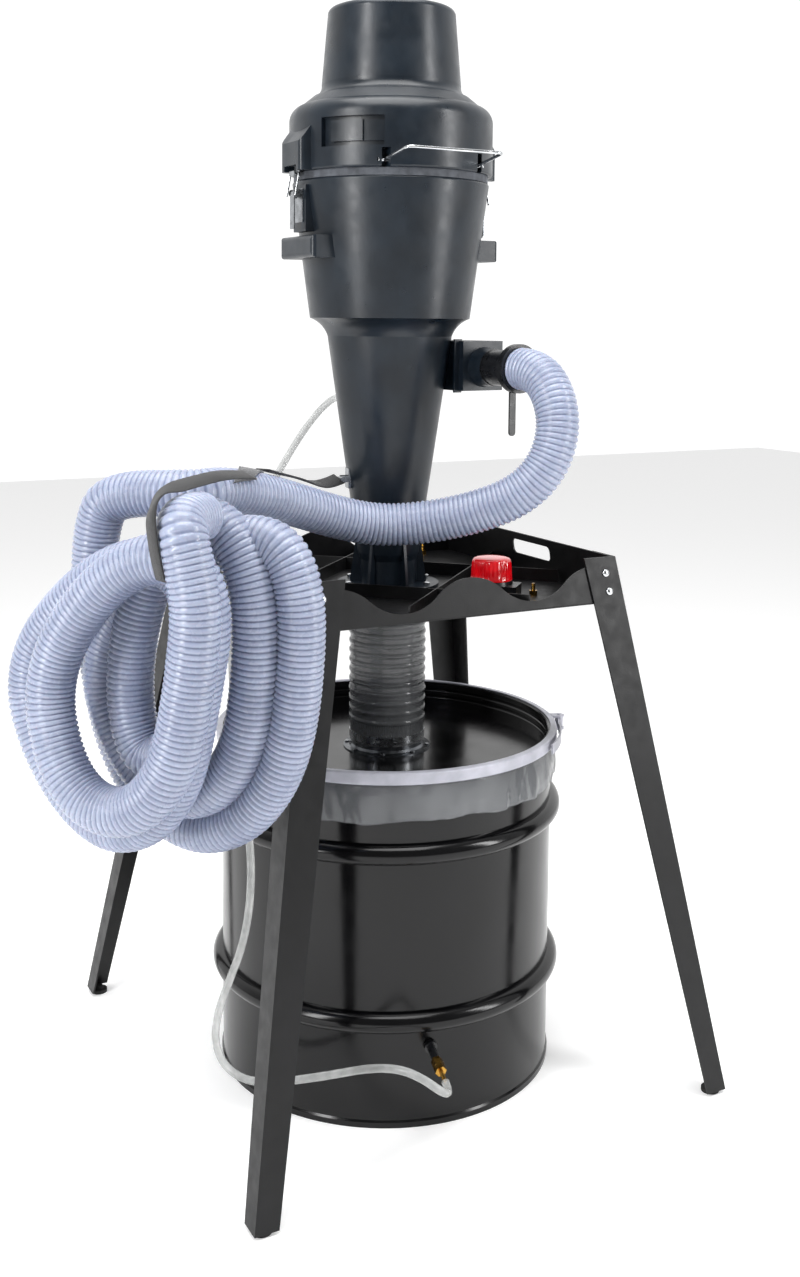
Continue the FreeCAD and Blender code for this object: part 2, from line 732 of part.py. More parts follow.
def cyclone_cone():
    foot = tray_levels()[1]
    bore = SPIGOT_R - CONE_WALL
    swell = 6.0
    steps = [
        (FLANGE_R, foot), (FLANGE_R, foot + FLANGE_T), (SPIGOT_R, foot + FLANGE_T),
        (SPIGOT_R, SPIGOT_TOP_Z - swell), (cone_radius(SPIGOT_TOP_Z + swell), SPIGOT_TOP_Z + swell),
        (CONE_TOP_R, CONE_TOP_Z),
        (CONE_TOP_R + 10, CONE_TOP_Z + 17, FUNNEL_R, FUNNEL_TOP_Z),
        (FUNNEL_R - CONE_WALL, FUNNEL_TOP_Z),
        (CONE_TOP_R + 10 - CONE_WALL, CONE_TOP_Z + 18, CONE_TOP_R - CONE_WALL, CONE_TOP_Z),
        (cone_radius(SPIGOT_TOP_Z + swell) - CONE_WALL, SPIGOT_TOP_Z + swell),
        (bore, SPIGOT_TOP_Z - swell), (bore, foot),
    ]
    body = revolved((bore, foot), steps)
    gusset_wire = outline((SPIGOT_R - 2, foot + FLANGE_T - 1), [
        (GUSSET_FOOT_R, foot + FLANGE_T - 1), (GUSSET_FOOT_R, foot + FLANGE_T + 4),
        (cone_radius(GUSSET_TOP_Z) + 0.5, GUSSET_TOP_Z), (SPIGOT_R - 2, GUSSET_TOP_Z)])
    plate = Part.Face(gusset_wire).extrude(V(0, GUSSET_T, 0))
    plate.translate(V(0, -GUSSET_T / 2, 0))
    pieces = [body]
    for i in range(GUSSETS):
        pieces.append(at_angle(plate, GUSSET_TURN + i * 360.0 / GUSSETS))
    return fused(pieces)


def inlet_point(u, v, z):
    """A point from its offset across and along the inlet's direction."""
    a = math.radians(INLET_TURN)
    along = V(math.cos(a), math.sin(a), 0)
    across = V(-math.sin(a), math.cos(a), 0)
    return across * u + along * v + V(0, 0, z)


def scroll_face(outer, inner, face, z, samples=7):
    """The inlet duct's plan: straight beside the cone, then a spiral that closes on it."""
    start_r = outer
    end_r = cone_radius(z) + (outer - INLET_OUTER) - 1.0
    points = []
    for i in range(samples):
        share = i / (samples - 1)
        a = math.radians(share * INLET_SWEEP)
        r = start_r + (end_r - start_r) * share
        points.append(inlet_point(r * math.cos(a), -r * math.sin(a), z))
    spiral = Part.BSplineCurve()
    spiral.interpolate(points)
    corner_out = inlet_point(outer, face, z)
    corner_in = inlet_point(inner, face, z)
    axis_side = inlet_point(inner, 0, z)
    centre = inlet_point(0, 0, z)
    edges = [
        Part.LineSegment(corner_in, corner_out).toShape(),
        Part.LineSegment(corner_out, points[0]).toShape(),
        spiral.toShape(),
        Part.LineSegment(points[-1], centre).toShape(),
        Part.LineSegment(centre, axis_side).toShape(),
        Part.LineSegment(axis_side, corner_in).toShape(),
    ]
    return Part.Face(Part.Wire(edges))


def cone_cutter(gap):
    """A solid that fills the cone and a gap around it, near the inlet."""
    z0, z1 = INLET_Z0 - 30, INLET_Z1 + 6
    return Part.makeCone(cone_radius(z0) + gap, cone_radius(z1) + gap, z1 - z0, V(0, 0, z0))


def inlet_axis():
    """The inlet collar's centre across the duct and its height."""
    return 0.5 * (INLET_INNER + INLET_OUTER) + 2.0, 0.5 * (INLET_Z0 + INLET_Z1) - 2.0


def inlet_dir():
    return inlet_point(0, 1, 0)


def inlet_box():
    outer = scroll_face(INLET_OUTER, INLET_INNER, INLET_FACE, INLET_Z0)
    duct = outer.extrude(V(0, 0, INLET_Z1 - INLET_Z0))
    u, z = inlet_axis()
    collar = Part.makeCone(INLET_COLLAR_R, INLET_MOUTH_R, INLET_COLLAR_L, inlet_point(u, INLET_FACE, z),
                           inlet_dir())
    throat = rod(inlet_point(u, 0, z), inlet_point(u, INLET_FACE + INLET_COLLAR_L + 2, z),
                 CUFF_R + CUFF_FIT)
    seam = [inlet_point(INLET_INNER - SIDE_FLANGE_OUT, INLET_FACE - 16, INLET_Z0 - 3),
            inlet_point(INLET_INNER + 6, INLET_FACE - 16, INLET_Z0 - 3),
            inlet_point(INLET_INNER + 6, INLET_FACE - 16 + SIDE_FLANGE_T, INLET_Z0 - 3),
            inlet_point(INLET_INNER - SIDE_FLANGE_OUT, INLET_FACE - 16 + SIDE_FLANGE_T, INLET_Z0 - 3)]
    flange = Part.Face(Part.makePolygon(seam + seam[:1])).extrude(V(0, 0, INLET_Z1 - INLET_Z0 + 6))
    solid = fused([duct, collar, flange]).cut(cone_cutter(0.0))
    return solid.cut(throat)


def inlet_mouth():
    u, z = inlet_axis()
    return inlet_point(u, INLET_FACE + INLET_COLLAR_L, z)


def hose_cuff():
    """The swivel cuff: a spigot in the inlet and a ring that the hose screws into."""
    direction = inlet_dir()
    mouth = inlet_mouth()
    tail = mouth - direction * (INLET_COLLAR_L - 2)
    ring_back = mouth + direction * CUFF_REACH
    ring_front = ring_back + direction * CUFF_RING_T
    spigot = rod(tail, ring_front, CUFF_R)
    stop = rod(mouth, mouth + direction * 3, INLET_MOUTH_R)
    ring = rod(ring_back, ring_front, CUFF_RING_R)
    bore = rod(tail - direction, ring_front + direction, CUFF_R - CUFF_WALL)
    return fused([spigot, stop, ring]).cut(bore)


def cuff_tongue():
    """A rubber pull tongue that hangs from the cuff's spigot."""
    direction = inlet_dir()
    top = inlet_mouth() + direction * (CUFF_REACH - 8) - V(0, 0, CUFF_R + TONGUE_T / 2)
    side = V(0, 0, 1).cross(direction)
    base = top - direction * TONGUE_T / 2
    corners = [base + side * (TONGUE_W / 2), base - side * (TONGUE_W / 2),
               base - side * (TONGUE_W / 2) - V(0, 0, TONGUE_L),
               base + side * (TONGUE_W / 2) - V(0, 0, TONGUE_L)]
    edges = [Part.LineSegment(corners[0], corners[1]).toShape(),
             Part.LineSegment(corners[1], corners[2]).toShape(),
             Part.Arc(corners[2], (corners[2] + corners[3]) * 0.5 - V(0, 0, TONGUE_W / 2),
                      corners[3]).toShape(),
             Part.LineSegment(corners[3], corners[0]).toShape()]
    blade = Part.Face(Part.Wire(edges)).extrude(direction * TONGUE_T)
    loop_start = inlet_mouth() + direction * (CUFF_REACH - 8 - 5)
    loop_end = loop_start + direction * 10
    loop = rod(loop_start, loop_end, CUFF_R + TONGUE_T).cut(
        rod(loop_start - direction, loop_end + direction, CUFF_R))
    return fused([blade, loop])


# ---------------------------------------------------------------- barrel and head

def barrel_radius(z):
    share = (z - FUNNEL_TOP_Z) / (BARREL_TOP_Z - FUNNEL_TOP_Z)
    return FUNNEL_R + share * (BARREL_TOP_R - FUNNEL_R)


def filter_barrel():
    lip = 4.0
    steps = [
        (FUNNEL_R, FUNNEL_TOP_Z), (BARREL_TOP_R - 0.5, BARREL_TOP_Z - lip),
        (BARREL_TOP_R - 1.6, BARREL_TOP_Z - 1.2, BARREL_TOP_R - lip, BARREL_TOP_Z),
        (BARREL_TOP_R - BARREL_WALL - lip, BARREL_TOP_Z),
        (FUNNEL_R - BARREL_WALL, FUNNEL_TOP_Z),
    ]
    shell = revolved((FUNNEL_R - BARREL_WALL, FUNNEL_TOP_Z), steps[:-1])
    core = Part.makeCone(FUNNEL_R - BARREL_WALL / 2, BARREL_TOP_R - BARREL_WALL / 2,
                         BARREL_TOP_Z - FUNNEL_TOP_Z, V(0, 0, FUNNEL_TOP_Z))
    pieces = [shell]
    for side in (-1, 1):
        x0, x1 = sorted((side * 100.0, side * LUG_REACH))
        lug = block(x0, x1, -LUG_HALF, LUG_HALF, LUG_Z0, LUG_Z1)
        upright = [e for e in lug.Edges if abs(e.Vertexes[0].X - side * LUG_REACH) < 1e-6
                   and abs(e.Vertexes[-1].X - side * LUG_REACH) < 1e-6]
        lug = lug.makeFillet(LUG_FILLET, upright)
        x0, x1 = sorted((side * 100.0, side * PAD_REACH))
        pad = block(x0, x1, -PAD_HALF, PAD_HALF, PAD_Z0, PAD_Z1)
        pieces += [lug.cut(core), pad.cut(core)]
    return fused(pieces)


def gasket():
    return tube_ring(GASKET_R - 12, GASKET_R, BARREL_TOP_Z, BARREL_TOP_Z + GASKET_T)


def head_base_z():
    return BARREL_TOP_Z + GASKET_T


def wedge(r_in, r_out, z0, z1, a0, a1):
    """A part of a ring between two angles."""
    piece = revolved((r_in, z0), [(r_out, z0), (r_out, z1), (r_in, z1)], a1 - a0)
    return at_angle(piece, a0)


def motor_head():
    z0 = head_base_z()
    steps = [
        (HEAD_R - 4, z0), (HEAD_R - 1.2, z0 + 1.2, HEAD_R, z0 + 4), (HEAD_R, HEAD_SHOULDER_Z - 14),
        (HEAD_R - 5.5, HEAD_SHOULDER_Z + 3, HEAD_R - 20, HEAD_SHOULDER_Z + 13),
        (NECK_R + 14, NECK_Z - 16),
        (NECK_R + 4.2, NECK_Z - 10, NECK_R, NECK_Z + 4),
        (NECK_TOP_R, HEAD_TOP_Z - 12),
        (NECK_TOP_R - 3.5, HEAD_TOP_Z - HEAD_CROWN + 1.5, NECK_TOP_R - 14, HEAD_TOP_Z - 1.5),
        (0.0, HEAD_TOP_Z),
    ]
    body = revolved((0.0, z0), steps)
    for side in (-1, 1):
        reach = side * BULGE_REACH
        inner = side * (HEAD_R - 60)
        points = [V(inner, 0, z0), V(reach, 0, z0), V(reach, 0, BULGE_TOP_Z - BULGE_SLOPE),
                  V(side * (HEAD_R - 18), 0, BULGE_TOP_Z + 8), V(inner, 0, BULGE_TOP_Z + 8)]
        face = Part.Face(Part.makePolygon(points + points[:1]))
        bulge = face.extrude(V(0, 2 * BULGE_HALF, 0))
        bulge.translate(V(0, -BULGE_HALF, 0))
        upright = [e for e in bulge.Edges if abs(e.Vertexes[0].X - reach) < 1e-6
                   and abs(e.Vertexes[-1].X - reach) < 1e-6
                   and abs(e.Vertexes[0].Z - e.Vertexes[-1].Z) > 1]
        body = body.fuse(bulge.makeFillet(9.0, upright))
        relief_in = side * (PAD_REACH - 8)
        x0, x1 = sorted((relief_in, side * (BULGE_REACH + 5)))
        relief = block(x0, x1, -LATCH_WIRE_HALF - 7, LATCH_WIRE_HALF + 7, z0 - 1, z0 + RELIEF_H)
        body = body.cut(relief)
    pocket = wedge(HEAD_R - POCKET_DEEP, HEAD_R + 20, POCKET_Z0, POCKET_Z1, POCKET_FROM, POCKET_TO)
    panel = wedge(HEAD_R - POCKET_DEEP - 2, HEAD_R - 2, POCKET_Z0 + 7, POCKET_Z1 - 6,
                  POCKET_FROM + 6, POCKET_STEP)
    step = wedge(HEAD_R - POCKET_DEEP - 2, HEAD_R - 5.5, POCKET_Z0 + 7, POCKET_Z1 - 6,
                 POCKET_STEP - 1, POCKET_TO)
    body = body.cut(pocket).fuse(panel).fuse(step)
    for angle in NOTCH_ANGLES:
        x = HEAD_R * math.cos(math.radians(angle))
        y = HEAD_R * math.sin(math.radians(angle))
        body = body.cut(block(x - NOTCH_HALF, x + NOTCH_HALF, y - 30, y + NOTCH_DEEP,
                              z0 - 1, NOTCH_TOP_Z))
        body = body.cut(bail_pin(x, BAIL_PIN_R + PIN_FIT, 1.0))
    return body.removeSplitter()


def bail_ends():
    """The bail's half width and its pivot line's distance from the axis."""
    half = -HEAD_R * math.cos(math.radians(NOTCH_ANGLES[0]))
    pivot_y = HEAD_R * math.sin(math.radians(NOTCH_ANGLES[0])) + NOTCH_DEEP / 2
    return half, pivot_y


def bail_pin(x, radius, extra):
    """A pin across one notch, or the hole for it when it is given more radius and length."""
    reach = NOTCH_HALF + BAIL_PIN_IN + extra
    return Part.makeCylinder(radius, 2 * reach, V(x - reach, bail_ends()[1], BAIL_PIVOT_Z), V(1, 0, 0))


def head_bail():
    """A wire handle on two pins, its grip held off the head."""
    half, y = bail_ends()
    bar_y = y - BAIL_OUT
    bar_z = BAIL_PIVOT_Z + BAIL_RISE
    loop = bent_wire([(-half, y, BAIL_PIVOT_Z), (-half, bar_y, bar_z), (half, bar_y, bar_z),
                      (half, y, BAIL_PIVOT_Z)], BAIL_BEND_R, BAIL_WIRE_R)
    return fused([loop, bail_pin(-half, BAIL_PIN_R, 0.0), bail_pin(half, BAIL_PIN_R, 0.0)])


# ---------------------------------------------------------------- draw latches (left side, at -X)

def latch_pin():
    """The latch pin's distance from the axis and its height."""
    return PAD_REACH + LATCH_PIN_OUT, LATCH_PIN_Z


def latch_base():
    """A plate on the barrel's pad with two ears for the lever's pin."""
    face = PAD_REACH
    x_pin, z_pin = latch_pin()
    half = LATCH_BASE_W / 2
    plate = block(-face - LATCH_BASE_T, -face, -half, half, LATCH_BASE_Z0, LATCH_PIN_Z + 7)
    inner = LATCH_LEVER_W / 2 + LATCH_FIT
    pieces = [plate]
    for side in (-1, 1):
        y0, y1 = sorted((side * inner, side * (inner + LATCH_EAR_T)))
        pieces.append(block(-x_pin, -face, y0, y1, z_pin - 6, z_pin + 6))
        pieces.append(Part.makeCylinder(6, LATCH_EAR_T, V(-x_pin, y0, z_pin), V(0, 1, 0)))
    solid = fused(pieces)
    return solid.cut(Part.makeCylinder(LATCH_PIN_R + PIN_FIT, 60, V(-x_pin, -30, z_pin), V(0, 1, 0)))


def latch_lever():
    """A pressed lever that hangs from the pin and swings out and up."""
    x_pin, z_pin = latch_pin()
    half = LATCH_LEVER_W / 2
    pin_half = half + LATCH_FIT + LATCH_EAR_T + 0.6
    knuckle_r = 4.2
    outer = -x_pin - knuckle_r
    knuckle = Part.makeCylinder(knuckle_r, 2 * half, V(-x_pin, -half, z_pin), V(0, 1, 0))
    blade = block(outer, outer + LATCH_LEVER_T, -half, half, z_pin - LATCH_LEVER_L, z_pin)
    heel = block(outer, -x_pin + 1.5, -half, half, z_pin - 9, z_pin)
    pin = Part.makeCylinder(LATCH_PIN_R, 2 * pin_half, V(-x_pin, -pin_half, z_pin), V(0, 1, 0))
    return fused([knuckle, blade, heel, pin])


def latch_wire():
    """The wire loop, hung in the keeper's hook, its legs astride the lever."""
    x_low = -(PAD_REACH + LATCH_WIRE_OUT)
    x_top = -(PAD_REACH + LATCH_WIRE_IN)
    h = LATCH_WIRE_HALF
    z = LATCH_WIRE_Z
    return bent_wire([(x_low, -h, z - LATCH_WIRE_DROP), (x_top, -h, z), (x_top, h, z),
                      (x_low, h, z - LATCH_WIRE_DROP)], 5.0, LATCH_WIRE_R)


def latch_keeper():
    """A hook that hangs from the head's relief and holds the wire's bar."""
    bar = PAD_REACH + LATCH_WIRE_IN
    gap = LATCH_WIRE_R + LATCH_FIT * 3
    shelf_top = LATCH_WIRE_Z - LATCH_WIRE_R - LATCH_FIT / 2
    inner = bar - gap
    outer = bar + gap + KEEPER_T
    drop = block(-inner, -inner + KEEPER_T, -KEEPER_HALF, KEEPER_HALF, shelf_top - KEEPER_T,
                 head_base_z() + RELIEF_H)
    shelf = block(-outer, -inner, -KEEPER_HALF, KEEPER_HALF, shelf_top - KEEPER_T, shelf_top)
    lip = block(-outer, -outer + KEEPER_T, -KEEPER_HALF, KEEPER_HALF, shelf_top - KEEPER_T,
                shelf_top + KEEPER_LIP)
    return fused([drop, shelf, lip])


def mirrored(shape):
    """The same piece on the other side, at +X."""
    return shape.mirror(V(0, 0, 0), V(1, 0, 0))


# ---------------------------------------------------------------- beacon and fittings

def beacon_levels():
    base = tray_levels()[1]
    ring = base + BEACON_BOX[2]
    lens = ring + BEACON_RING_H
    return base, ring, lens


def at_beacon(shape):
    shape.rotate(V(0, 0, 0), V(0, 0, 1), BEACON_TURN)
    shape.translate(V(BEACON_AT[0], BEACON_AT[1], 0))
    return shape


def beacon_box():
    base, ring, lens = beacon_levels()
    length, width, height = BEACON_BOX
    shape = block(-length / 2 + BEACON_BOX_SHIFT, length / 2 + BEACON_BOX_SHIFT, -width / 2, width / 2,
                  base, ring)
    upright = [e for e in shape.Edges if abs(e.Vertexes[0].Z - e.Vertexes[-1].Z) > 1]
    return at_beacon(shape.makeFillet(5, upright))


def beacon_base():
    base, ring, lens = beacon_levels()
    return at_beacon(Part.makeCone(BEACON_RING_R + 2, BEACON_RING_R, BEACON_RING_H, V(0, 0, ring)))


def beacon_lens():
    base, ring, lens = beacon_levels()
    top = lens + BEACON_LENS_H
    steps = [
        (BEACON_LENS_R, lens), (BEACON_LENS_R, lens + 3), (BEACON_LENS_TOP_R + 1, top - 9),
        (BEACON_LENS_TOP_R - 2.5, top - 3, BEACON_LENS_TOP_R - 10, top - 1.2), (0.0, top),
    ]
    return at_beacon(revolved((0.0, lens), steps))


def barb(length, hex_size, hex_length):
    """A hose barb along +Z: a hexagon, then three ridges."""
    corners = [polar(hex_size / math.sqrt(3), 60 * i) for i in range(7)]
    pieces = [Part.Face(Part.makePolygon(corners)).extrude(V(0, 0, hex_length))]
    pitch = length / 3.0
    for i in range(3):
        pieces.append(Part.makeCone(BARB_R, BARB_R * 0.8, pitch, V(0, 0, hex_length + i * pitch)))
    return fused(pieces)


def tray_barbs():
    z = tray_levels()[1]
    solids = []
    for x, y in TRAY_BARBS:
        piece = barb(12.0, BARB_HEX, 8.0)
        piece.translate(V(x, y, z))
        solids.append(piece)
    return Part.makeCompound(solids)


def drum_barb_frame():
    """Where the drum's fitting starts and the way it points."""
    out = polar(1.0, DRUM_BARB_ANGLE)
    dip = math.radians(DRUM_BARB_DIP)
    direction = out * math.cos(dip) - V(0, 0, math.sin(dip))
    return polar(DRUM_R, DRUM_BARB_ANGLE, DRUM_BARB_Z), direction


def drum_stem():
    start, direction = drum_barb_frame()
    stem = rod(start - direction * 2, start + direction * DRUM_STEM_L, DRUM_STEM_R)
    nut = rod(start, start + direction * 7, DRUM_STEM_R + 4)
    whole = fused([stem, nut])
    return whole.cut(Part.makeCylinder(DRUM_R, 400, V(0, 0, 20)))


def drum_barb():
    start, direction = drum_barb_frame()
    piece = barb(DRUM_BARB_L, BARB_HEX + 3, DRUM_HEX_L)
    piece.Placement = FreeCAD.Placement(start + direction * DRUM_STEM_L,
                                        FreeCAD.Rotation(V(0, 0, 1), direction))
    return piece


def cone_barb():
    out = polar(1.0, CONE_BARB_ANGLE)
    start = polar(cone_radius(CONE_BARB_Z) - 3, CONE_BARB_ANGLE, CONE_BARB_Z)
    piece = barb(CONE_BARB_L - 12, BARB_HEX, 12.0)
    piece.Placement = FreeCAD.Placement(start, FreeCAD.Rotation(V(0, 0, 1), out))
    cone = Part.makeCone(cone_radius(CONE_BARB_Z - 40), cone_radius(CONE_BARB_Z + 40), 80,
                         V(0, 0, CONE_BARB_Z - 40))
    return piece.cut(cone)


# ---------------------------------------------------------------- strap, coil and hoses

def strap_clip():
    """A small bracket on the cone with a bar that the strap is looped through."""
    r = cone_radius(CLIP_Z)
    plate = block(r - 2, r + 3, -12, 12, CLIP_Z - 16, CLIP_Z + 18)
    arms = [block(r, r + CLIP_BAR_OUT, y - 2, y + 2, CLIP_Z - 5, CLIP_Z + 5) for y in (-10, 10)]
    bar = Part.makeCylinder(CLIP_BAR_R, 24, V(r + CLIP_BAR_OUT, -12, CLIP_Z), V(0, 1, 0))
    cone = Part.makeCone(cone_radius(CLIP_Z - 40), cone_radius(CLIP_Z + 40), 80, V(0, 0, CLIP_Z - 40))
    return at_angle(fused([plate, bar] + arms), CLIP_ANGLE).cut(cone)


def hose_strap():
    """The webbing strap, from the clip's bar to where it lies over the hose."""
    start = polar(cone_radius(CLIP_Z) + CLIP_BAR_OUT + CLIP_BAR_R, CLIP_ANGLE, CLIP_Z)
    points = [start] + [V(*p) for p in STRAP_ROUTE]
    sections = []
    for i, point in enumerate(points):
        run = points[min(i + 1, len(points) - 1)] - points[max(i - 1, 0)]
        side = V(0, 0, 1).cross(run).normalize() * (STRAP_W / 2)
        thick = V(0, 0, STRAP_T)
        corners = [point - side, point + side, point + side + thick, point - side + thick]
        sections.append(Part.makePolygon(corners + corners[:1]))
    strap = Part.makeLoft(sections, True, True).cut(strap_clip())
    return max(strap.Solids, key=lambda solid: solid.Volume)


def coil_frame(across, up, out):
    """A point of the coil, from its own directions."""
    face = V(*COIL_FACE).normalize()
    side = V(-face.y, face.x, 0)
    return V(*COIL_CENTRE) + side * across + V(0, 0, up) + face * out


def coil_outline(half_w, half_h, across, up, out):
    """A round-ended outline in the coil's plane, about a point of it."""
    flat = half_h - half_w
    left, right = across - half_w, across + half_w
    top, bottom = up + flat, up - flat
    edges = [
        Part.Arc(coil_frame(right, top, out), coil_frame(across, up + half_h, out),
                 coil_frame(left, top, out)).toShape(),
        Part.LineSegment(coil_frame(left, top, out), coil_frame(left, bottom, out)).toShape(),
        Part.Arc(coil_frame(left, bottom, out), coil_frame(across, up - half_h, out),
                 coil_frame(right, bottom, out)).toShape(),
        Part.LineSegment(coil_frame(right, bottom, out), coil_frame(right, top, out)).toShape(),
    ]
    return Part.Wire(edges)


def stand_envelope(gap):
    """The space the stand takes up, with a gap all round."""
    sections = []
    for z in (FOOT_H, STAND_TOP_Z):
        h = stand_half(z) + gap
        sections.append(Part.makePolygon([V(x, y, z) for x, y in ((h, h), (-h, h), (-h, -h), (h, -h),
                                                                  (h, h))]))
    return Part.makeLoft(sections, True, True)


def hose_coil():
    """The outer shape of the hose's turns, with the space between the strands left open."""
    face = V(*COIL_FACE).normalize()
    half = COIL_THICK / 2
    outer = Part.Face(coil_outline(COIL_HALF_W, COIL_HALF_H, 0, 0, -half)).extrude(face * COIL_THICK)
    rims = [e for e in outer.Edges if abs((e.CenterOfMass - V(*COIL_CENTRE)).dot(face)) > half - 1]
    hole = coil_outline(COIL_HOLE_HALF_W, COIL_HOLE_HALF_H, COIL_HOLE_AT[0], COIL_HOLE_AT[1],
                        -COIL_THICK)
    coil = outer.makeFillet(COIL_ROUND, rims).cut(Part.Face(hole).extrude(face * 2 * COIL_THICK))
    return coil.cut(stand_envelope(COIL_CLEAR))


def suction_points():
    """The suction hose's corner points, square to the cuff at the start."""
    direction = inlet_dir()
    start = inlet_mouth() + direction * (CUFF_REACH + CUFF_RING_T)
    return [start, start + direction * SUCTION_FIRST_RUN] + [V(*p) for p in SUCTION_ROUTE]


def vacuum_points():
    """The vacuum tube's corner points, in line with the barb at each end."""
    out = polar(1.0, CONE_BARB_ANGLE)
    start = polar(cone_radius(CONE_BARB_Z) - 3 + CONE_BARB_L, CONE_BARB_ANGLE, CONE_BARB_Z)
    foot, direction = drum_barb_frame()
    end = foot + direction * (DRUM_STEM_L + DRUM_HEX_L + DRUM_BARB_L)
    return [start, start + out * VACUUM_FIRST_RUN] + [V(*p) for p in VACUUM_ROUTE] + [
        end + direction * VACUUM_LAST_RUN, end]


# ---------------------------------------------------------------- build

def build():
    save("drum_shell", drum_shell())
    save("drum_lid", drum_lid())
    save("lock_ring", lock_ring())
    save("ring_lever", ring_lever())
    save("bag_liner", bag_liner())
    save("lid_collar", lid_collar())
    save("drop_hose", drop_hose())
    z0, z1 = hose_span()
    save("lower_clamp", band_clamp(z0 + 4, -118.0))
    save("upper_clamp", band_clamp(z1 - 4 - CLAMP_W, 62.0))
    save("outlet_collar", outlet_collar())

    leg_shape = leg()
    for quarter, name in enumerate(("back_right", "back_left", "front_left", "front_right")):
        save("leg_" + name, at_angle(leg_shape, 90 * quarter))
    save("feet", feet())
    save("rail_front", rail(True, 0.0, 0.6))
    save("rail_right", at_angle(rail(False, -SLOT_SHIFT, RAIL_T + 1.2), 90))
    save("rail_back", at_angle(rail(True, 0.0, 0.6), 180))
    save("rail_left", at_angle(rail(False, -SLOT_SHIFT, RAIL_T + 1.2), 270))
    save("tray_plate", tray_plate())
    save("tray_ribs", tray_ribs())

    save("cyclone_cone", cyclone_cone())
    save("inlet_box", inlet_box())
    save("hose_cuff", hose_cuff())
    save("cuff_tongue", cuff_tongue())
    save("filter_barrel", filter_barrel())
    save("head_gasket", gasket())
    save("motor_head", motor_head())
    save("head_bail", head_bail())
    for side in ("left", "right"):
        for name, shape in (("latch_base_", latch_base()), ("latch_lever_", latch_lever()),
                            ("latch_wire_", latch_wire()), ("latch_keeper_", latch_keeper())):
            save(name + side, shape if side == "left" else mirrored(shape))

    save("beacon_box", beacon_box())
    save("beacon_base", beacon_base())
    save("beacon_lens", beacon_lens())
    save("tray_barbs", tray_barbs())
    save("drum_stem", drum_stem())
    save("drum_barb", drum_barb())
    save("cone_barb", cone_barb())

    save("strap_clip", strap_clip())
    save("hose_strap", hose_strap())
    save("hose_coil", hose_coil())
    save("suction_hose", hose("suction hose", suction_points(), SUCTION_R))
    save("vacuum_tube", hose("vacuum tube", vacuum_points(), VACUUM_R))


build()
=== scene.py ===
"""Looks of the cyclone dust separator: finishes for its steel, moulded, clear and rubber pieces,
the ribbed suction hose with its coil, the vacuum tube, the bag's film, the strap and the fastenings.

Metres, +Z up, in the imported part's own frame.
"""

import json

import bpy
import numpy as np
from mathutils import Matrix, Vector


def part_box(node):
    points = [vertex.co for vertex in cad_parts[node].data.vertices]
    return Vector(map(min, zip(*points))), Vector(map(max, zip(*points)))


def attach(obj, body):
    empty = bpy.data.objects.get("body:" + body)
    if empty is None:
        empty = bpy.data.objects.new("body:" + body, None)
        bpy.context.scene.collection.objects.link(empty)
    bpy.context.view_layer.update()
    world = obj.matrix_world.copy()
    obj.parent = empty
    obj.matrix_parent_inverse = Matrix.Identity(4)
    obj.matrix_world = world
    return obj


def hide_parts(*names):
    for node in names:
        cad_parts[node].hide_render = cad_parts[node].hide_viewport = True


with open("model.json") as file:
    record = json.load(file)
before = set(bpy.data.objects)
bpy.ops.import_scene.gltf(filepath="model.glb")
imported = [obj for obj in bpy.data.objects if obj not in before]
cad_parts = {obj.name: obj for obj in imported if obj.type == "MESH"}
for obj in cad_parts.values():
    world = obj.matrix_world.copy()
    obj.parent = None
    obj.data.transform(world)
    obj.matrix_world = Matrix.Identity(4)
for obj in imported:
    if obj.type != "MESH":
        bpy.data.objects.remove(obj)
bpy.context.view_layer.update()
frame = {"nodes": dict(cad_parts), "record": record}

BASE = "stand_and_drum"
MM = 0.001
UP = np.array([0.0, 0.0, 1.0])


# ---------------------------------------------------------------- materials

def linear(hex_colour, alpha=1.0):
    """An sRGB hex value as linear red, green, blue and alpha."""
    value = np.array([int(hex_colour[i:i + 2], 16) for i in (1, 3, 5)]) / 255
    value = np.where(value <= 0.04045, value / 12.92, ((value + 0.055) / 1.055) ** 2.4)
    return (*value.tolist(), alpha)


def add(tree, kind, inputs=None, **settings):
    """Adds one shader node. An input is a value, or another node's output socket."""
    node = tree.nodes.new(kind)
    for name, value in settings.items():
        setattr(node, name, value)
    for name, value in (inputs or {}).items():
        socket = node.inputs[name]
        if isinstance(value, bpy.types.NodeSocket):
            tree.links.new(value, socket)
        else:
            socket.default_value = value
    return node


def start_material(name):
    """A new material with its tree, its surface shader and the object's coordinates."""
    material = bpy.data.materials.new(name)
    material.use_nodes = True
    tree = material.node_tree
    shader = tree.nodes["Principled BSDF"]
    coordinates = add(tree, "ShaderNodeTexCoord")
    return material, tree, shader, coordinates


def set_shader(tree, shader, **inputs):
    """Sets or links the shader's sockets. Underscores in a name stand for spaces."""
    for name, value in inputs.items():
        socket = shader.inputs[name.replace("_", " ")]
        if isinstance(value, bpy.types.NodeSocket):
            tree.links.new(value, socket)
        else:
            socket.default_value = value


def two_tone(tree, vector, size, low, high, contrast=(0.35, 0.65), detail=4.0):
    """A colour that drifts between two tones, over patches of about this size in metres."""
    noise = add(tree, "ShaderNodeTexNoise", {"Vector": vector, "Scale": 1 / size, "Detail": detail})
    ramp = add(tree, "ShaderNodeValToRGB", {"Fac": noise.outputs["Fac"]})
    ramp.color_ramp.elements[0].position = contrast[0]
    ramp.color_ramp.elements[1].position = contrast[1]
    ramp.color_ramp.elements[0].color = linear(low)
    ramp.color_ramp.elements[1].color = linear(high)
    return ramp.outputs["Color"]


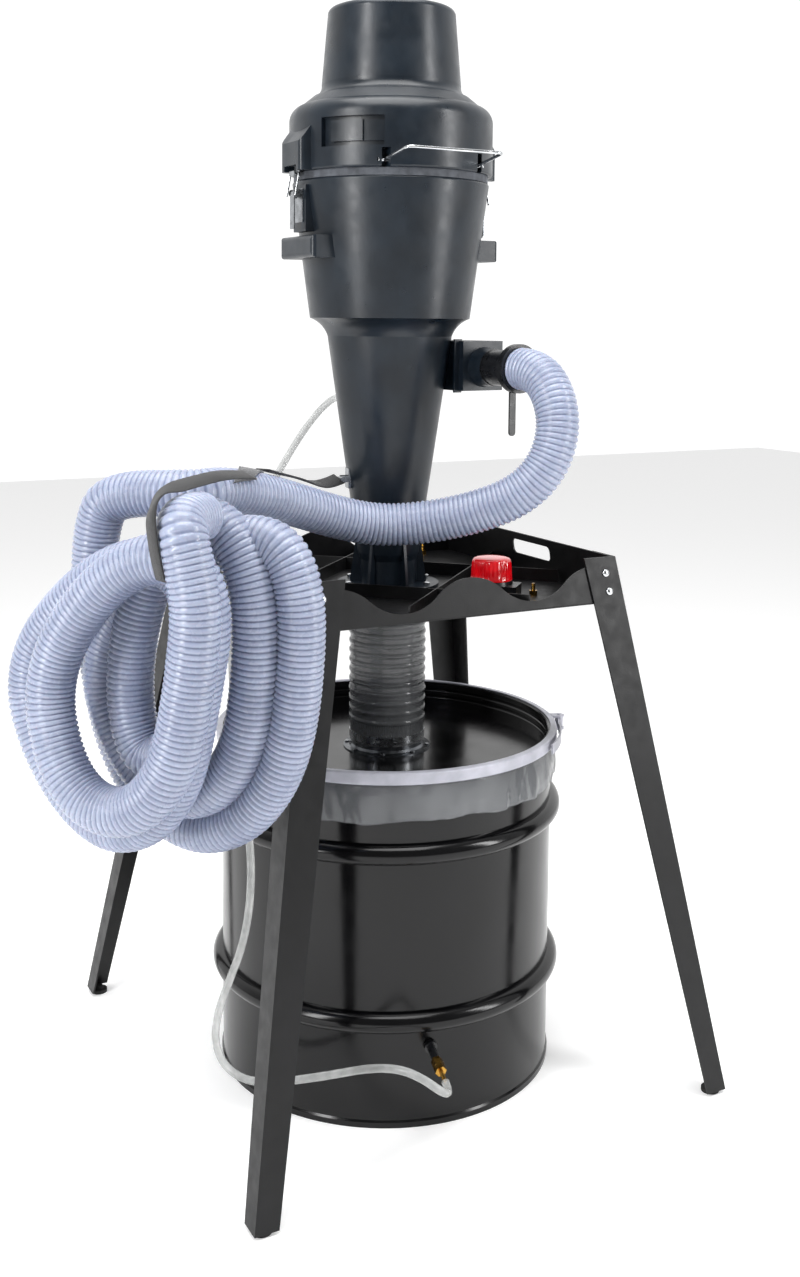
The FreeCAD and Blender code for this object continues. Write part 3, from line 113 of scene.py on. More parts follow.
def grain(tree, vector, size, height, strength=1.0, detail=2.0):
    """A bump of grains of about this size and height in metres."""
    noise = add(tree, "ShaderNodeTexNoise", {"Vector": vector, "Scale": 1 / size, "Detail": detail})
    bump = add(tree, "ShaderNodeBump", {"Height": noise.outputs["Fac"], "Distance": height,
                                        "Strength": strength})
    return bump.outputs["Normal"]


def roughness_drift(tree, vector, size, low, high):
    """A roughness that drifts between two values."""
    noise = add(tree, "ShaderNodeTexNoise", {"Vector": vector, "Scale": 1 / size, "Detail": 5.0})
    spread = add(tree, "ShaderNodeMapRange", {"Value": noise.outputs["Fac"], "From Min": 0.3,
                                              "From Max": 0.7, "To Min": low, "To Max": high})
    return spread.outputs["Result"]


def black_drum_enamel():
    """Stoved gloss enamel on rolled steel. It mirrors softly, with a faint orange-peel ripple."""
    material, tree, shader, at = start_material("black_drum_enamel")
    where = at.outputs["Object"]
    set_shader(tree, shader, Base_Color=two_tone(tree, where, 0.09, "#040405", "#09090b"),
               Roughness=roughness_drift(tree, where, 0.06, 0.13, 0.22), IOR=1.5,
               Specular_IOR_Level=0.34, Normal=grain(tree, where, 0.006, 0.00004))
    return material


def grey_ring_enamel():
    """Light grey enamel on the rolled lock ring, a little chalky."""
    material, tree, shader, at = start_material("grey_ring_enamel")
    where = at.outputs["Object"]
    set_shader(tree, shader, Base_Color=two_tone(tree, where, 0.04, "#a9aab4", "#c0c0cb"),
               Roughness=roughness_drift(tree, where, 0.03, 0.3, 0.42), IOR=1.5,
               Normal=grain(tree, where, 0.004, 0.00003))
    return material


def black_powder_coat():
    """Fine-textured powder coat on folded steel. The grain is drawn at 2 mm so that it shows."""
    material, tree, shader, at = start_material("black_powder_coat")
    where = at.outputs["Object"]
    set_shader(tree, shader, Base_Color=two_tone(tree, where, 0.05, "#070708", "#0d0d0f"),
               Roughness=roughness_drift(tree, where, 0.02, 0.36, 0.5), IOR=1.5,
               Specular_IOR_Level=0.36, Normal=grain(tree, where, 0.002, 0.00016, 0.7, 3.0))
    return material


def moulded_black_plastic():
    """Compression-moulded blue-black plastic, satin, with a soft ripple from the mould."""
    material, tree, shader, at = start_material("moulded_black_plastic")
    where = at.outputs["Object"]
    set_shader(tree, shader, Base_Color=two_tone(tree, where, 0.07, "#0d151d", "#172029"),
               Roughness=roughness_drift(tree, where, 0.03, 0.27, 0.4), IOR=1.5,
               Normal=grain(tree, where, 0.0035, 0.00012, 0.6, 4.0))
    return material


def black_cuff_plastic():
    """Injection-moulded black plastic with a smooth, slightly glossy face."""
    material, tree, shader, at = start_material("black_cuff_plastic")
    where = at.outputs["Object"]
    set_shader(tree, shader, Base_Color=two_tone(tree, where, 0.02, "#0c0d0f", "#151619"),
               Roughness=roughness_drift(tree, where, 0.01, 0.24, 0.36), IOR=1.5,
               Normal=grain(tree, where, 0.0015, 0.00002))
    return material


def black_rubber(name, low, high, rough):
    """Moulded rubber, matt and a little dusty."""
    material, tree, shader, at = start_material(name)
    where = at.outputs["Object"]
    set_shader(tree, shader, Base_Color=two_tone(tree, where, 0.015, low, high), Roughness=rough,
               IOR=1.52, Normal=grain(tree, where, 0.001, 0.00005))
    return material


def bright_metal(name, low, high, rough_low, rough_high, grain_size):
    """Plated or polished metal, its tone and polish drifting slightly."""
    material, tree, shader, at = start_material(name)
    where = at.outputs["Object"]
    set_shader(tree, shader, Base_Color=two_tone(tree, where, grain_size * 6, low, high), Metallic=1.0,
               Roughness=roughness_drift(tree, where, grain_size * 3, rough_low, rough_high),
               Normal=grain(tree, where, grain_size, grain_size * 0.02))
    return material


def clear_duct_plastic():
    """Smoky clear extruded duct. Its ribs catch light and the dark inside shows through."""
    material, tree, shader, at = start_material("clear_duct_plastic")
    where = at.outputs["Object"]
    set_shader(tree, shader, Base_Color=two_tone(tree, where, 0.06, "#5f6163", "#7b7d7f"),
               Roughness=roughness_drift(tree, where, 0.03, 0.12, 0.2), IOR=1.45, Alpha=0.6,
               Normal=grain(tree, where, 0.012, 0.0001, 0.5))
    return material


def bag_film():
    """Thin polythene film, milky grey. Its creases are a bump."""
    material, tree, shader, at = start_material("bag_film")
    where = at.outputs["Object"]
    creases = add(tree, "ShaderNodeTexVoronoi", {"Vector": where, "Scale": 16.0},
                  feature="DISTANCE_TO_EDGE")
    bump = add(tree, "ShaderNodeBump", {"Height": creases.outputs["Distance"], "Distance": 0.006,
                                        "Strength": 0.6})
    set_shader(tree, shader, Base_Color=two_tone(tree, where, 0.12, "#6e7073", "#85878a"),
               Roughness=0.14, IOR=1.5, Alpha=0.55, Normal=bump.outputs["Normal"])
    return material


def ribbed_hose_vinyl():
    """Soft glossy vinyl hose, pale lavender grey. The grooves between its ribs are darkened with painted
    shade.
    """
    material, tree, shader, at = start_material("ribbed_hose_vinyl")
    along = add(tree, "ShaderNodeUVMap", uv_map="ribs")
    split = add(tree, "ShaderNodeSeparateXYZ", {"Vector": along.outputs["UV"]})
    turn = add(tree, "ShaderNodeMath", {0: split.outputs["X"], 1: 2 * np.pi}, operation="MULTIPLY")
    wave = add(tree, "ShaderNodeMath", {0: turn.outputs["Value"]}, operation="COSINE")
    # Painted shade: this factor rises towards each rib's groove, where the colour is darkened.
    groove = add(tree, "ShaderNodeMapRange", {"Value": wave.outputs["Value"], "From Min": 0.3,
                                              "From Max": 1.0})
    tone = two_tone(tree, at.outputs["Object"], 0.05, "#9199b0", "#a2aac0")
    # Sockets 6 and 7 are the two colours: the vinyl's tone and the painted groove shade.
    tone_with_painted_groove_shade = add(tree, "ShaderNodeMix", {"Factor": groove.outputs["Result"], 6: tone,
                                      7: linear("#757d96")}, data_type="RGBA")
    set_shader(tree, shader, Base_Color=tone_with_painted_groove_shade.outputs[2],
               Roughness=roughness_drift(tree, at.outputs["Object"], 0.012, 0.2, 0.34), IOR=1.53,
               Subsurface_Weight=0.08, Subsurface_Scale=0.01,
               Normal=grain(tree, at.outputs["Object"], 0.003, 0.00003, 0.5))
    return material


def clear_tube_plastic():
    """Clear flexible PVC tube, greyish, with a bright wet-looking edge."""
    material, tree, shader, at = start_material("clear_tube_plastic")
    where = at.outputs["Object"]
    set_shader(tree, shader, Base_Color=two_tone(tree, where, 0.02, "#b9bbba", "#d4d6d4"),
               Roughness=0.12, IOR=1.5, Alpha=0.6, Transmission_Weight=0.3,
               Normal=grain(tree, where, 0.004, 0.00003))
    return material


def red_beacon_plastic():
    """Clear red polycarbonate lens over a lit lamp."""
    material, tree, shader, at = start_material("red_beacon_plastic")
    tone = two_tone(tree, at.outputs["Object"], 0.02, "#b80512", "#e0101c")
    set_shader(tree, shader, Base_Color=tone, Roughness=0.12, IOR=1.58, Transmission_Weight=0.35,
               Coat_Weight=0.5, Emission_Color=tone, Emission_Strength=0.35,
               Normal=grain(tree, at.outputs["Object"], 0.003, 0.00003))
    return material


def black_webbing():
    """Woven polypropylene webbing, a twill of 2 mm ribs that slant across the strap."""
    material, tree, shader, at = start_material("black_webbing")
    along = add(tree, "ShaderNodeUVMap", uv_map="weave")
    rows = add(tree, "ShaderNodeTexWave", {"Vector": along.outputs["UV"], "Scale": 0.32,
                                           "Distortion": 0.6}, bands_direction="DIAGONAL")
    bump = add(tree, "ShaderNodeBump", {"Height": rows.outputs["Fac"], "Distance": 0.0006})
    set_shader(tree, shader, Base_Color=two_tone(tree, at.outputs["Object"], 0.008, "#101012", "#1f1f22"),
               Roughness=0.75, Sheen_Weight=0.25, Normal=bump.outputs["Normal"])
    return material


def fuzzy_patch():
    """The looped face of a hook-and-loop fastener: dark grey nap with no gloss."""
    material, tree, shader, at = start_material("fuzzy_patch")
    where = at.outputs["Object"]
    set_shader(tree, shader, Base_Color=two_tone(tree, where, 0.003, "#26272a", "#4a4b4f"),
               Roughness=0.95, Sheen_Weight=0.6, Normal=grain(tree, where, 0.0015, 0.0012, 1.0, 5.0))
    return material


def pale_floor():
    """Smooth matt studio floor."""
    material, tree, shader, _ = start_material("pale_floor")
    set_shader(tree, shader, Base_Color=linear("#f6f6f6"), Roughness=0.8, Specular_IOR_Level=0.1,
               Emission_Color=linear("#ffffff"), Emission_Strength=0.22)
    return material


finishes = {
    "drum_enamel": black_drum_enamel(),
    "ring_paint": grey_ring_enamel(),
    "bag_film": bag_film(),
    "lid_collar_steel": bright_metal("galvanised_collar", "#5c5f63", "#7b7e82", 0.25, 0.4, 0.004),
    "clear_duct": clear_duct_plastic(),
    "zinc_band": bright_metal("zinc_plated_band", "#8f9295", "#b5b8bb", 0.2, 0.34, 0.002),
    "stand_paint": black_powder_coat(),
    "foot_rubber": black_rubber("foot_rubber", "#0c0c0c", "#1a1a1a", 0.8),
    "moulded_black": moulded_black_plastic(),
    "cuff_black": black_cuff_plastic(),
    "gasket_rubber": black_rubber("foam_gasket", "#3b3e44", "#565a61", 0.7),
    "chrome_wire": bright_metal("chromed_wire", "#c4c7ca", "#dfe1e3", 0.06, 0.14, 0.003),
    "latch_steel": bright_metal("zinc_plated_latch", "#85888b", "#a9acb0", 0.22, 0.36, 0.002),
    "beacon_black": black_cuff_plastic(),
    "beacon_red": red_beacon_plastic(),
    "brass_fitting": bright_metal("turned_brass", "#a87e34", "#c79b4c", 0.16, 0.28, 0.0015),
    "stem_black": black_cuff_plastic(),
    "strap_webbing": black_webbing(),
    "hose_vinyl": ribbed_hose_vinyl(),
    "clear_tube": clear_tube_plastic(),
}


def finish_frame():
    """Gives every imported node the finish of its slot."""
    for part in frame["record"]["subparts"]:
        mesh = frame["nodes"][part["node"]].data
        mesh.materials.clear()
        mesh.materials.append(finishes[part["material_slot"]])


# ---------------------------------------------------------------- mesh making

def unit(vectors):
    """Vectors scaled to length one."""
    return vectors / np.linalg.norm(vectors, axis=-1, keepdims=True)


def grid_faces(rows, columns, around=True):
    """Quads between neighbouring rows and columns, the last column joined to the first if around."""
    row = np.arange(rows - 1)[:, None]
    column = np.arange(columns if around else columns - 1)[None, :]
    after = (column + 1) % columns
    a, b = row * columns + column, row * columns + after
    return np.stack([a, b, b + columns, a + columns], axis=-1).reshape(-1, 4)


def capped_faces(rows, sides):
    """The quads of a closed run of rings, with one face over each end."""
    faces = grid_faces(rows, sides).tolist()
    faces.append(list(range(sides))[::-1])
    faces.append([(rows - 1) * sides + k for k in range(sides)])
    return faces


def piece(name, points, faces, slot, body=BASE, material=None, uv=None, uv_name="weave"):
    """A smooth mesh object from points and faces, riding on a body. uv holds one pair per point."""
    mesh = bpy.data.meshes.new(name)
    mesh.from_pydata(points.tolist(), [], [list(f) for f in faces])
    mesh.polygons.foreach_set("use_smooth", np.ones(len(mesh.polygons), dtype=bool))
    if uv is not None:
        corners = np.empty(len(mesh.loops), dtype=np.int32)
        mesh.loops.foreach_get("vertex_index", corners)
        layer = mesh.uv_layers.new(name=uv_name)
        layer.data.foreach_set("uv", uv[corners].ravel())
    mesh.materials.append(material or finishes[slot])
    mesh.update()
    thing = bpy.data.objects.new(name, mesh)
    bpy.context.scene.collection.objects.link(thing)
    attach(thing, body)
    return thing


def smooth_line(corners, resolution=16):
    """Points along the smooth line of a NURBS curve with these control points."""
    curve = bpy.data.curves.new("line", "CURVE")
    curve.dimensions = "3D"
    curve.resolution_u = resolution
    spline = curve.splines.new("NURBS")
    spline.points.add(len(corners) - 1)
    spline.points.foreach_set("co", np.column_stack([corners, np.ones(len(corners))]).ravel())
    spline.order_u = 3
    spline.use_endpoint_u = True
    carrier = bpy.data.objects.new("line", curve)
    line = bpy.data.meshes.new_from_object(carrier)
    points = np.empty(len(line.vertices) * 3)
    line.vertices.foreach_get("co", points)
    bpy.data.objects.remove(carrier)
    bpy.data.curves.remove(curve)
    bpy.data.meshes.remove(line)
    return points.reshape(-1, 3)


def distance_along(line):
    """How far along the line each of its points lies."""
    return np.concatenate([[0.0], np.cumsum(np.linalg.norm(np.diff(line, axis=0), axis=1))])


def spaced(line, step):
    """The same line with points a fixed step apart, and the distance of each along it."""
    run = distance_along(line)
    count = max(int(round(run[-1] / step)), 2)
    at = np.linspace(0.0, run[-1], count + 1)
    return np.column_stack([np.interp(at, run, line[:, k]) for k in range(3)]), at


def tube(line, radius, across, sides):
    """A closed round tube: at each point of the line, a ring of that radius square to the line.

    across is a direction that the line never runs along; each ring's first spoke is square to both.
    """
    run = unit(np.gradient(line, axis=0))
    spoke = unit(np.cross(run, across))
    other = np.cross(run, spoke)
    angle = np.linspace(0, 2 * np.pi, sides, endpoint=False)[None, :, None]
    ring = np.cos(angle) * spoke[:, None, :] + np.sin(angle) * other[:, None, :]
    points = line[:, None, :] + np.reshape(radius, (-1, 1, 1)) * ring
    return points.reshape(-1, 3), capped_faces(len(line), sides)


def turned(profile, sides):
    """A form turned about Z: each profile point (radius, height) becomes a ring, and one face closes
    each end."""
    profile = np.asarray(profile, dtype=float)
    angle = np.linspace(0, 2 * np.pi, sides, endpoint=False)
    rings = np.stack([profile[:, :1] * np.cos(angle), profile[:, :1] * np.sin(angle),
                      np.repeat(profile[:, 1:], sides, axis=1)], axis=-1)
    return rings.reshape(-1, 3), capped_faces(len(profile), sides)


def copies(points, faces, places, axes):
    """One form repeated: its Z axis turned to each axis and its origin moved to each place."""
    axes = unit(np.asarray(axes, dtype=float))
    helper = np.where(np.abs(axes[:, 2:]) > 0.9, [[1.0, 0.0, 0.0]], [[0.0, 0.0, 1.0]])
    side = unit(np.cross(helper, axes))
    third = np.cross(axes, side)
    turned_points = (points[None, :, :1] * side[:, None, :] + points[None, :, 1:2] * third[:, None, :]
                     + points[None, :, 2:] * axes[:, None, :] + np.asarray(places)[:, None, :])
    count = len(points)
    every = [[index + k * count for index in face] for k in range(len(places)) for face in faces]
    return turned_points.reshape(-1, 3), every


def ribbon(line, facing, width, thickness):
    """A flat closed band: a rounded oblong section carried along the line, its face turned to facing."""
    run = unit(np.gradient(line, axis=0))
    side = unit(np.cross(run, facing))
    face = np.cross(side, run)
    half = np.array([-1.0, -0.94, 0.94, 1.0, 0.94, -0.94]) * width / 2
    lift = np.array([0.0, 0.5, 0.5, 0.0, -0.5, -0.5]) * thickness
    points = (line[:, None, :] + half[None, :, None] * side[:, None, :]
              + lift[None, :, None] * face[:, None, :])
    rows, sides = len(line), len(half)
    along = distance_along(line)
    uv = np.stack([np.repeat(along[:, None], sides, 1), np.repeat(half[None, :], rows, 0)], -1) / MM
    return points.reshape(-1, 3), capped_faces(rows, sides), uv.reshape(-1, 2)


# ---------------------------------------------------------------- suction hose and its coil

HOSE_D = 0.070
RIB_PITCH = 0.0085
RIB_DEPTH = 0.0030
RIB_SHAPE = [1.0, 0.22, 0.0, 0.22]      # each step's share of the depth, from groove to groove
HOSE_SIDES = 24

# In mm, as in the part's source. They started from a scratch program's output and were spaced anew
# by hand.
lead_points = np.array([
    (144.0, -189.1, 1204.0), (148.9, -232.9, 1204.0), (153.0, -276.0, 1165.0),
    (151.0, -294.0, 1110.0), (133.0, -289.0, 1050.0), (98.0, -262.0, 1004.0),
    (45.0, -216.0, 975.0), (-20.0, -164.0, 955.0), (-92.0, -128.0, 951.0),
    (-166.0, -120.0, 970.0), (-236.0, -134.0, 994.0), (-305.0, -158.0, 1015.0),
    (-370.0, -184.0, 1029.0), (-426.0, -214.0, 1030.0)]) * MM

coil_at = np.array([-506.0, -202.0, 773.0]) * MM
coil_out = unit(np.array([-0.816, -0.578, 0.0]))
coil_right = np.array([-coil_out[1], coil_out[0], 0.0])

# Each turn's reach, in mm from the coil's centre: left, right, bottom, top, how far out it lies,
# and how far its top leans to the right. The last row is where the last turn ends. The reaches
# started from a scratch program's output and were changed by hand.
TURNS = np.array([
    (-105, 240, -240, 268, -43, -115),
    (-89, 187, -180, 205, -15, 110),
    (-12, 92, -120, 232, 10, 40),
    (-185, 135, -224, 170, 40, 60),
    (-80, 165, -168, 190, 122, 95),
    (-80, 168, -168, 240, 122, 58),
], dtype=float)
TURN_STEPS = 18
LAST_TURN_SHARE = 0.94
TAIL = [(158, 226, 122), (146, 240, 104), (138, 243, 74), (132, 240, 40)]


def on_coil(across, up, out):
    """A point of the coil's own frame, in mm from its centre."""
    return coil_at + MM * (across * coil_right + up * UP + out * coil_out)


def coil_points():
    """The coil's line. At phase p of a turn, going left from the top, across is the middle of the
    reach less half the reach times sin p, and up is the same with cos p. Each reach is read between
    turns where that side is passed, so that one turn flows into the next. The end is tucked in."""
    turns = len(TURNS) - 1
    at = np.arange(1, int(TURN_STEPS * (turns - 1 + LAST_TURN_SHARE)) + 1) / TURN_STEPS
    order = np.arange(turns + 1)
    left = np.interp(at, order + 0.25, TURNS[:, 0])
    bottom = np.interp(at, order + 0.5, TURNS[:, 2])
    right = np.interp(at, order + 0.75, TURNS[:, 1])
    top = np.interp(at, order, TURNS[:, 3])
    out = np.interp(at, order + 0.4, TURNS[:, 4])
    lean = np.interp(at, order, TURNS[:, 5])
    phase = 2 * np.pi * at
    across = (left + right) / 2 - (right - left) / 2 * np.sin(phase)
    across = across + lean * np.maximum(np.cos(phase), 0.0)
    up = (bottom + top) / 2 + (top - bottom) / 2 * np.cos(phase)
    turned_line = coil_at + MM * (across[:, None] * coil_right + up[:, None] * UP
                                  + out[:, None] * coil_out)
    return np.concatenate([turned_line, [on_coil(*place) for place in TAIL]])


def suction_hose():
    """One ribbed hose from the cuff to the end of the coil. Its radius drops in each rib's groove."""
    line = smooth_line(np.concatenate([lead_points, coil_points()]))
    steps = len(RIB_SHAPE)
    path = spaced(line, RIB_PITCH / steps)[0]
    ring = np.arange(len(path)) % steps
    radius = HOSE_D / 2 - RIB_DEPTH * np.choose(ring, RIB_SHAPE)
    points, faces = tube(path, radius, coil_out, HOSE_SIDES)
    phase = np.repeat(np.arange(len(path)) / steps, HOSE_SIDES)
    turn = np.tile(np.arange(HOSE_SIDES) / HOSE_SIDES, len(path))
    hose = piece("suction_hose", points, faces, "hose_vinyl", uv=np.column_stack([phase, turn]),
                 uv_name="ribs")
    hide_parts("suction_hose", "hose_coil")
    return hose


# ---------------------------------------------------------------- vacuum tube

TUBE_D = 0.0127
TUBE_STEP = 0.006
TUBE_SIDES = 20
TUBE_ACROSS = np.array([0.8, 0.6, 0.0])     # a direction that the tube never runs along

# In mm, as in the part's source. A scratch program made five of these points, and others started
# from its output.
tube_points = np.array([
    (-14.8, 120.5, 1146.0), (-19.9, 162.2, 1146.0), (-36.0, 188.0, 1126.0),
    (-62.0, 191.0, 1097.0), (-97.0, 175.0, 1062.0), (-135.0, 150.0, 1023.0),
    (-180.0, 108.0, 985.0), (-230.0, 50.0, 948.0), (-284.0, -22.0, 915.0),
    (-318.0, -78.0, 838.0), (-334.0, -115.0, 750.0), (-336.0, -132.0, 650.0),
    (-326.0, -135.0, 550.0), (-309.0, -131.0, 450.0), (-308.0, -127.0, 362.0),
    (-317.0, -116.0, 286.0), (-334.0, -103.0, 228.0), (-350.0, -94.0, 178.0),
    (-358.0, -92.0, 130.0), (-353.0, -106.0, 96.0), (-338.0, -136.0, 80.0),
    (-314.0, -171.0, 80.0), (-279.0, -215.0, 96.0), (-234.0, -267.0, 120.0),
    (-191.0, -318.0, 146.0), (-163.0, -362.0, 159.0), (-140.0, -392.0, 153.0),
    (-111.0, -404.0, 128.0), (-89.4, -387.1, 114.6), (-84.1, -364.1, 118.7)]) * MM


def vacuum_tube():
    """The clear tube from the cone to the drum."""
    line = smooth_line(tube_points)
    path = spaced(line, TUBE_STEP)[0]
    points, faces = tube(path, np.full(len(path), TUBE_D / 2), TUBE_ACROSS, TUBE_SIDES)
    hose = piece("vacuum_tube", points, faces, "clear_tube")
    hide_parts("vacuum_tube")
    return hose


# ---------------------------------------------------------------- strap

STRAP_W = 0.034
STRAP_T = 0.0026
BAND_STEP = 0.006

# The fuzzy patch, in metres and degrees.
PATCH_ROWS, PATCH_COLUMNS = 26, 20
PATCH_X = -0.305            # its middle at the back
PATCH_SLIDE = 0.062         # how far its front end is shifted along the hose
PATCH_HALF_W = 0.028
PATCH_TAPER = 0.008         # how much narrower each half is at the front end
PATCH_START, PATCH_SWEEP, PATCH_SKEW = 112, 84, 5
PATCH_OUTSIDE_R, PATCH_INSIDE_R = 0.0392, 0.0362
PATCH_FRONT = np.array([0.4, -0.92, 0.0])


def patch_on_hose():
    """The fuzzy patch: it lies round the hose from its back top to its front, a little outside it.
    Each point is the hose's line plus a spoke at that angle; the patch slides along the line as it
    comes forward. Its two faces lie at two distances from the line."""
    line = smooth_line(lead_points)
    line = line[np.argsort(line[:, 0])]
    rows, columns = PATCH_ROWS, PATCH_COLUMNS
    down = np.linspace(0, 1, rows)[:, None]
    across = np.linspace(-1, 1, columns)[None, :]
    x = (PATCH_X - PATCH_SLIDE * down) + (PATCH_HALF_W - PATCH_TAPER * down) * across
    centre = np.stack([x] + [np.interp(x, line[:, 0], line[:, k]) for k in (1, 2)], axis=-1)
    front = unit(PATCH_FRONT)
    angle = np.radians(PATCH_START - PATCH_SWEEP * down + PATCH_SKEW * across)[..., None]
    spoke = np.cos(angle) * front + np.sin(angle) * UP
    outside, inside = centre + PATCH_OUTSIDE_R * spoke, centre + PATCH_INSIDE_R * spoke
    points = np.concatenate([outside.reshape(-1, 3), inside.reshape(-1, 3)])
    sheet = grid_faces(rows, columns, around=False)
    edge = np.concatenate([np.arange(columns), np.arange(1, rows) * columns + columns - 1,
                           (rows - 1) * columns + np.arange(columns - 2, -1, -1),
                           np.arange(rows - 2, 0, -1) * columns])
    after = np.roll(edge, -1)
    rim = np.stack([after, edge, edge + rows * columns, after + rows * columns], axis=-1)
    faces = np.concatenate([sheet, sheet[:, ::-1] + rows * columns, rim])
    return piece("strap_patch", points, faces.tolist(), "strap_webbing", material=fuzzy_patch())


def strap_pieces():
    """The webbing's run from the clip, the patch on the hose, and a band over the front turn. Returns
    the two pieces that the hose carries."""
    run = smooth_line(np.array([(-85.8, 18.2, 1012.0), (-118.0, -2.0, 1006.0), (-160.0, -36.0, 1012.0),
                                (-205.0, -82.0, 1028.0), (-250.0, -124.0, 1040.0),
                                (-296.0, -150.0, 1053.0)]) * MM)
    share = np.linspace(0, 1, len(run))[:, None]
    facing = (1 - share) * np.array([0.2, -0.4, 0.75]) + share * UP
    points, faces, uv = ribbon(run, facing, STRAP_W * 0.8, STRAP_T)
    webbing = piece("strap_run", points, faces, "strap_webbing", uv=uv)
    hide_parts("hose_strap")

    patch = patch_on_hose()
    # A scratch program made seven of these nine points; they were then moved a few mm by hand.
    corners = np.array([on_coil(126, 284, -92), on_coil(127, 292, -30), on_coil(119, 288, 20),
                        on_coil(121, 284, 90), on_coil(122, 276, 126), on_coil(126, 254, 147),
                        on_coil(131, 224, 149), on_coil(136, 192, 148), on_coil(139, 168, 142)])
    line, along = spaced(smooth_line(corners), BAND_STEP)
    share = np.clip((along / along[-1] - 0.5) / 0.2, 0, 1)[:, None]
    facing = (1 - share) * (UP + 0.4 * coil_right) + share * (coil_out - 0.5 * coil_right)
    points, faces, uv = ribbon(line, facing, STRAP_W * 0.8, STRAP_T)
    band = piece("strap_band", points, faces, "strap_webbing", uv=uv)
    return [patch, band]


# ---------------------------------------------------------------- bag film

FILM_T = 0.0004
FILM_MARGIN = 0.0012
FILM_SWELL = 0.0022
FILM_FOLD = 0.0032


def bag_cuff():
    """The bag's film turned down outside the drum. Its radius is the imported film's less a
    margin, plus a swell half way down and folds of several waves that grow towards the free edge."""
    low, high = (np.array(v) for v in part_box("bag_liner"))
    top_z, drop = high[2], high[2] - low[2]
    outer = high[0]
    columns, rows = 720, 16
    angle = np.linspace(0, 2 * np.pi, columns, endpoint=False)[None, :]
    down = np.linspace(0, 1, rows)[:, None]
    folds = (0.45 * np.sin(23 * angle + 2.0 * down) + 0.3 * np.sin(41 * angle + 1.3)
             + 0.25 * np.sin(67 * angle - 3.1 * down))
    radius = (outer - FILM_MARGIN + FILM_SWELL * np.sin(np.pi * down)
              + FILM_FOLD * folds * (0.15 + 0.85 * down))
    edge = 1.0 + 0.05 * np.sin(5 * angle + 0.7) + 0.03 * np.sin(17 * angle)
    height = top_z - drop * down * edge * 0.93
    points = np.stack([radius * np.cos(angle), radius * np.sin(angle), height], axis=-1)
    faces = grid_faces(rows, columns)[:, ::-1].tolist()
    film = piece("bag_film", points.reshape(-1, 3), faces, "bag_film")
    thick = film.modifiers.new("film", "SOLIDIFY")
    thick.thickness = FILM_T
    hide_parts("bag_liner")
    return film


# ---------------------------------------------------------------- fastenings

STAND_BOLT_INSET = 0.026            # from the stand's corner
STAND_BOLT_DROPS = (0.026, 0.056)   # below the stand's top
STAND_BOLT_R, STAND_BOLT_H = 0.0065, 0.0042
FLANGE_BOLTS = 6
FLANGE_BOLT_RING, FLANGE_BOLT_TURN = 0.076, np.radians(2.4)
FLANGE_BOLT_FLATS, FLANGE_BOLT_H = 0.010, 0.0055
FLANGE_RISE = 0.006                 # from the tray's top to the bolts
COLLAR_SCREWS = 8
COLLAR_SCREW_RING, COLLAR_SCREW_TURN = 0.0705, 0.2
COLLAR_SCREW_FLATS, COLLAR_SCREW_H = 0.007, 0.003
COLLAR_RISE = 0.0035                # from the lid collar's underside to the screws


def dome_profile(radius, height):
    """A button head: a short rim, then a quarter of an ellipse up to a tiny flat."""
    rise = np.linspace(0, np.pi / 2, 6)
    rim = np.array([[radius, -0.0005], [radius, height * 0.25]])
    crown = np.column_stack([radius * np.cos(rise), height * (0.25 + 0.75 * np.sin(rise))])[1:]
    crown[-1, 0] = radius * 0.02
    return np.vstack([rim, crown])


def button_heads(name, places, axes, radius, height, slot="chrome_wire"):
    """Button-head bolts or rivets at these places, pointing along these axes."""
    points, faces = turned(dome_profile(radius, height), 20)
    points, faces = copies(points, faces, places, axes)
    return piece(name, points, faces, slot)


def hex_heads(name, places, axes, flats, height, slot="chrome_wire"):
    """Hexagon heads: six sides, with the top's corners turned away to a chamfer."""
    corner = flats / np.sqrt(3)
    profile = [[corner, -0.0004], [corner, height * 0.8], [corner * 0.88, height],
               [corner * 0.02, height]]
    points, faces = turned(profile, 6)
    points, faces = copies(points, faces, places, axes)
    heads = piece(name, points, faces, slot)
    heads.data.polygons.foreach_set("use_smooth", np.zeros(len(heads.data.polygons), dtype=bool))
    return heads


def stand_side():
    """The stand's foot and top heights and its half width at each, from its packed corner leg."""
    low, high = (np.array(v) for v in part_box("leg_back_right"))
    points = np.empty(len(frame["nodes"]["leg_back_right"].data.vertices) * 3)
    frame["nodes"]["leg_back_right"].data.vertices.foreach_get("co", points)
    points = points.reshape(-1, 3)
    at_top = points[points[:, 2] > high[2] - MM][:, 0].max()
    at_foot = points[points[:, 2] < low[2] + MM][:, 0].max()
    return low[2], high[2], at_foot, at_top


def stand_bolts():
    """Two button-head bolts through each flange of each leg into the rails."""
    foot_z, top_z, at_foot, at_top = stand_side()
    slope = (at_foot - at_top) / (top_z - foot_z)
    places, axes = [], []
    for quarter in range(4):
        turn = np.pi / 2 * quarter
        c, s = np.cos(turn), np.sin(turn)
        turning = np.array([[c, -s, 0], [s, c, 0], [0, 0, 1]])
        for drop in STAND_BOLT_DROPS:
            half = at_top + slope * drop
            for across in (-1, 1):
                place = np.array([across * (half - STAND_BOLT_INSET), -half, top_z - drop])
                places.append(turning @ place)
                axes.append(turning @ np.array([0.0, -1.0, slope]))
    return button_heads("stand_bolts", places, axes, STAND_BOLT_R, STAND_BOLT_H)


def ring_places(count, radius, z, start):
    """Places evenly round the axis."""
    angle = start + 2 * np.pi * np.arange(count) / count
    return np.column_stack([radius * np.cos(angle), radius * np.sin(angle), np.full(count, z)])


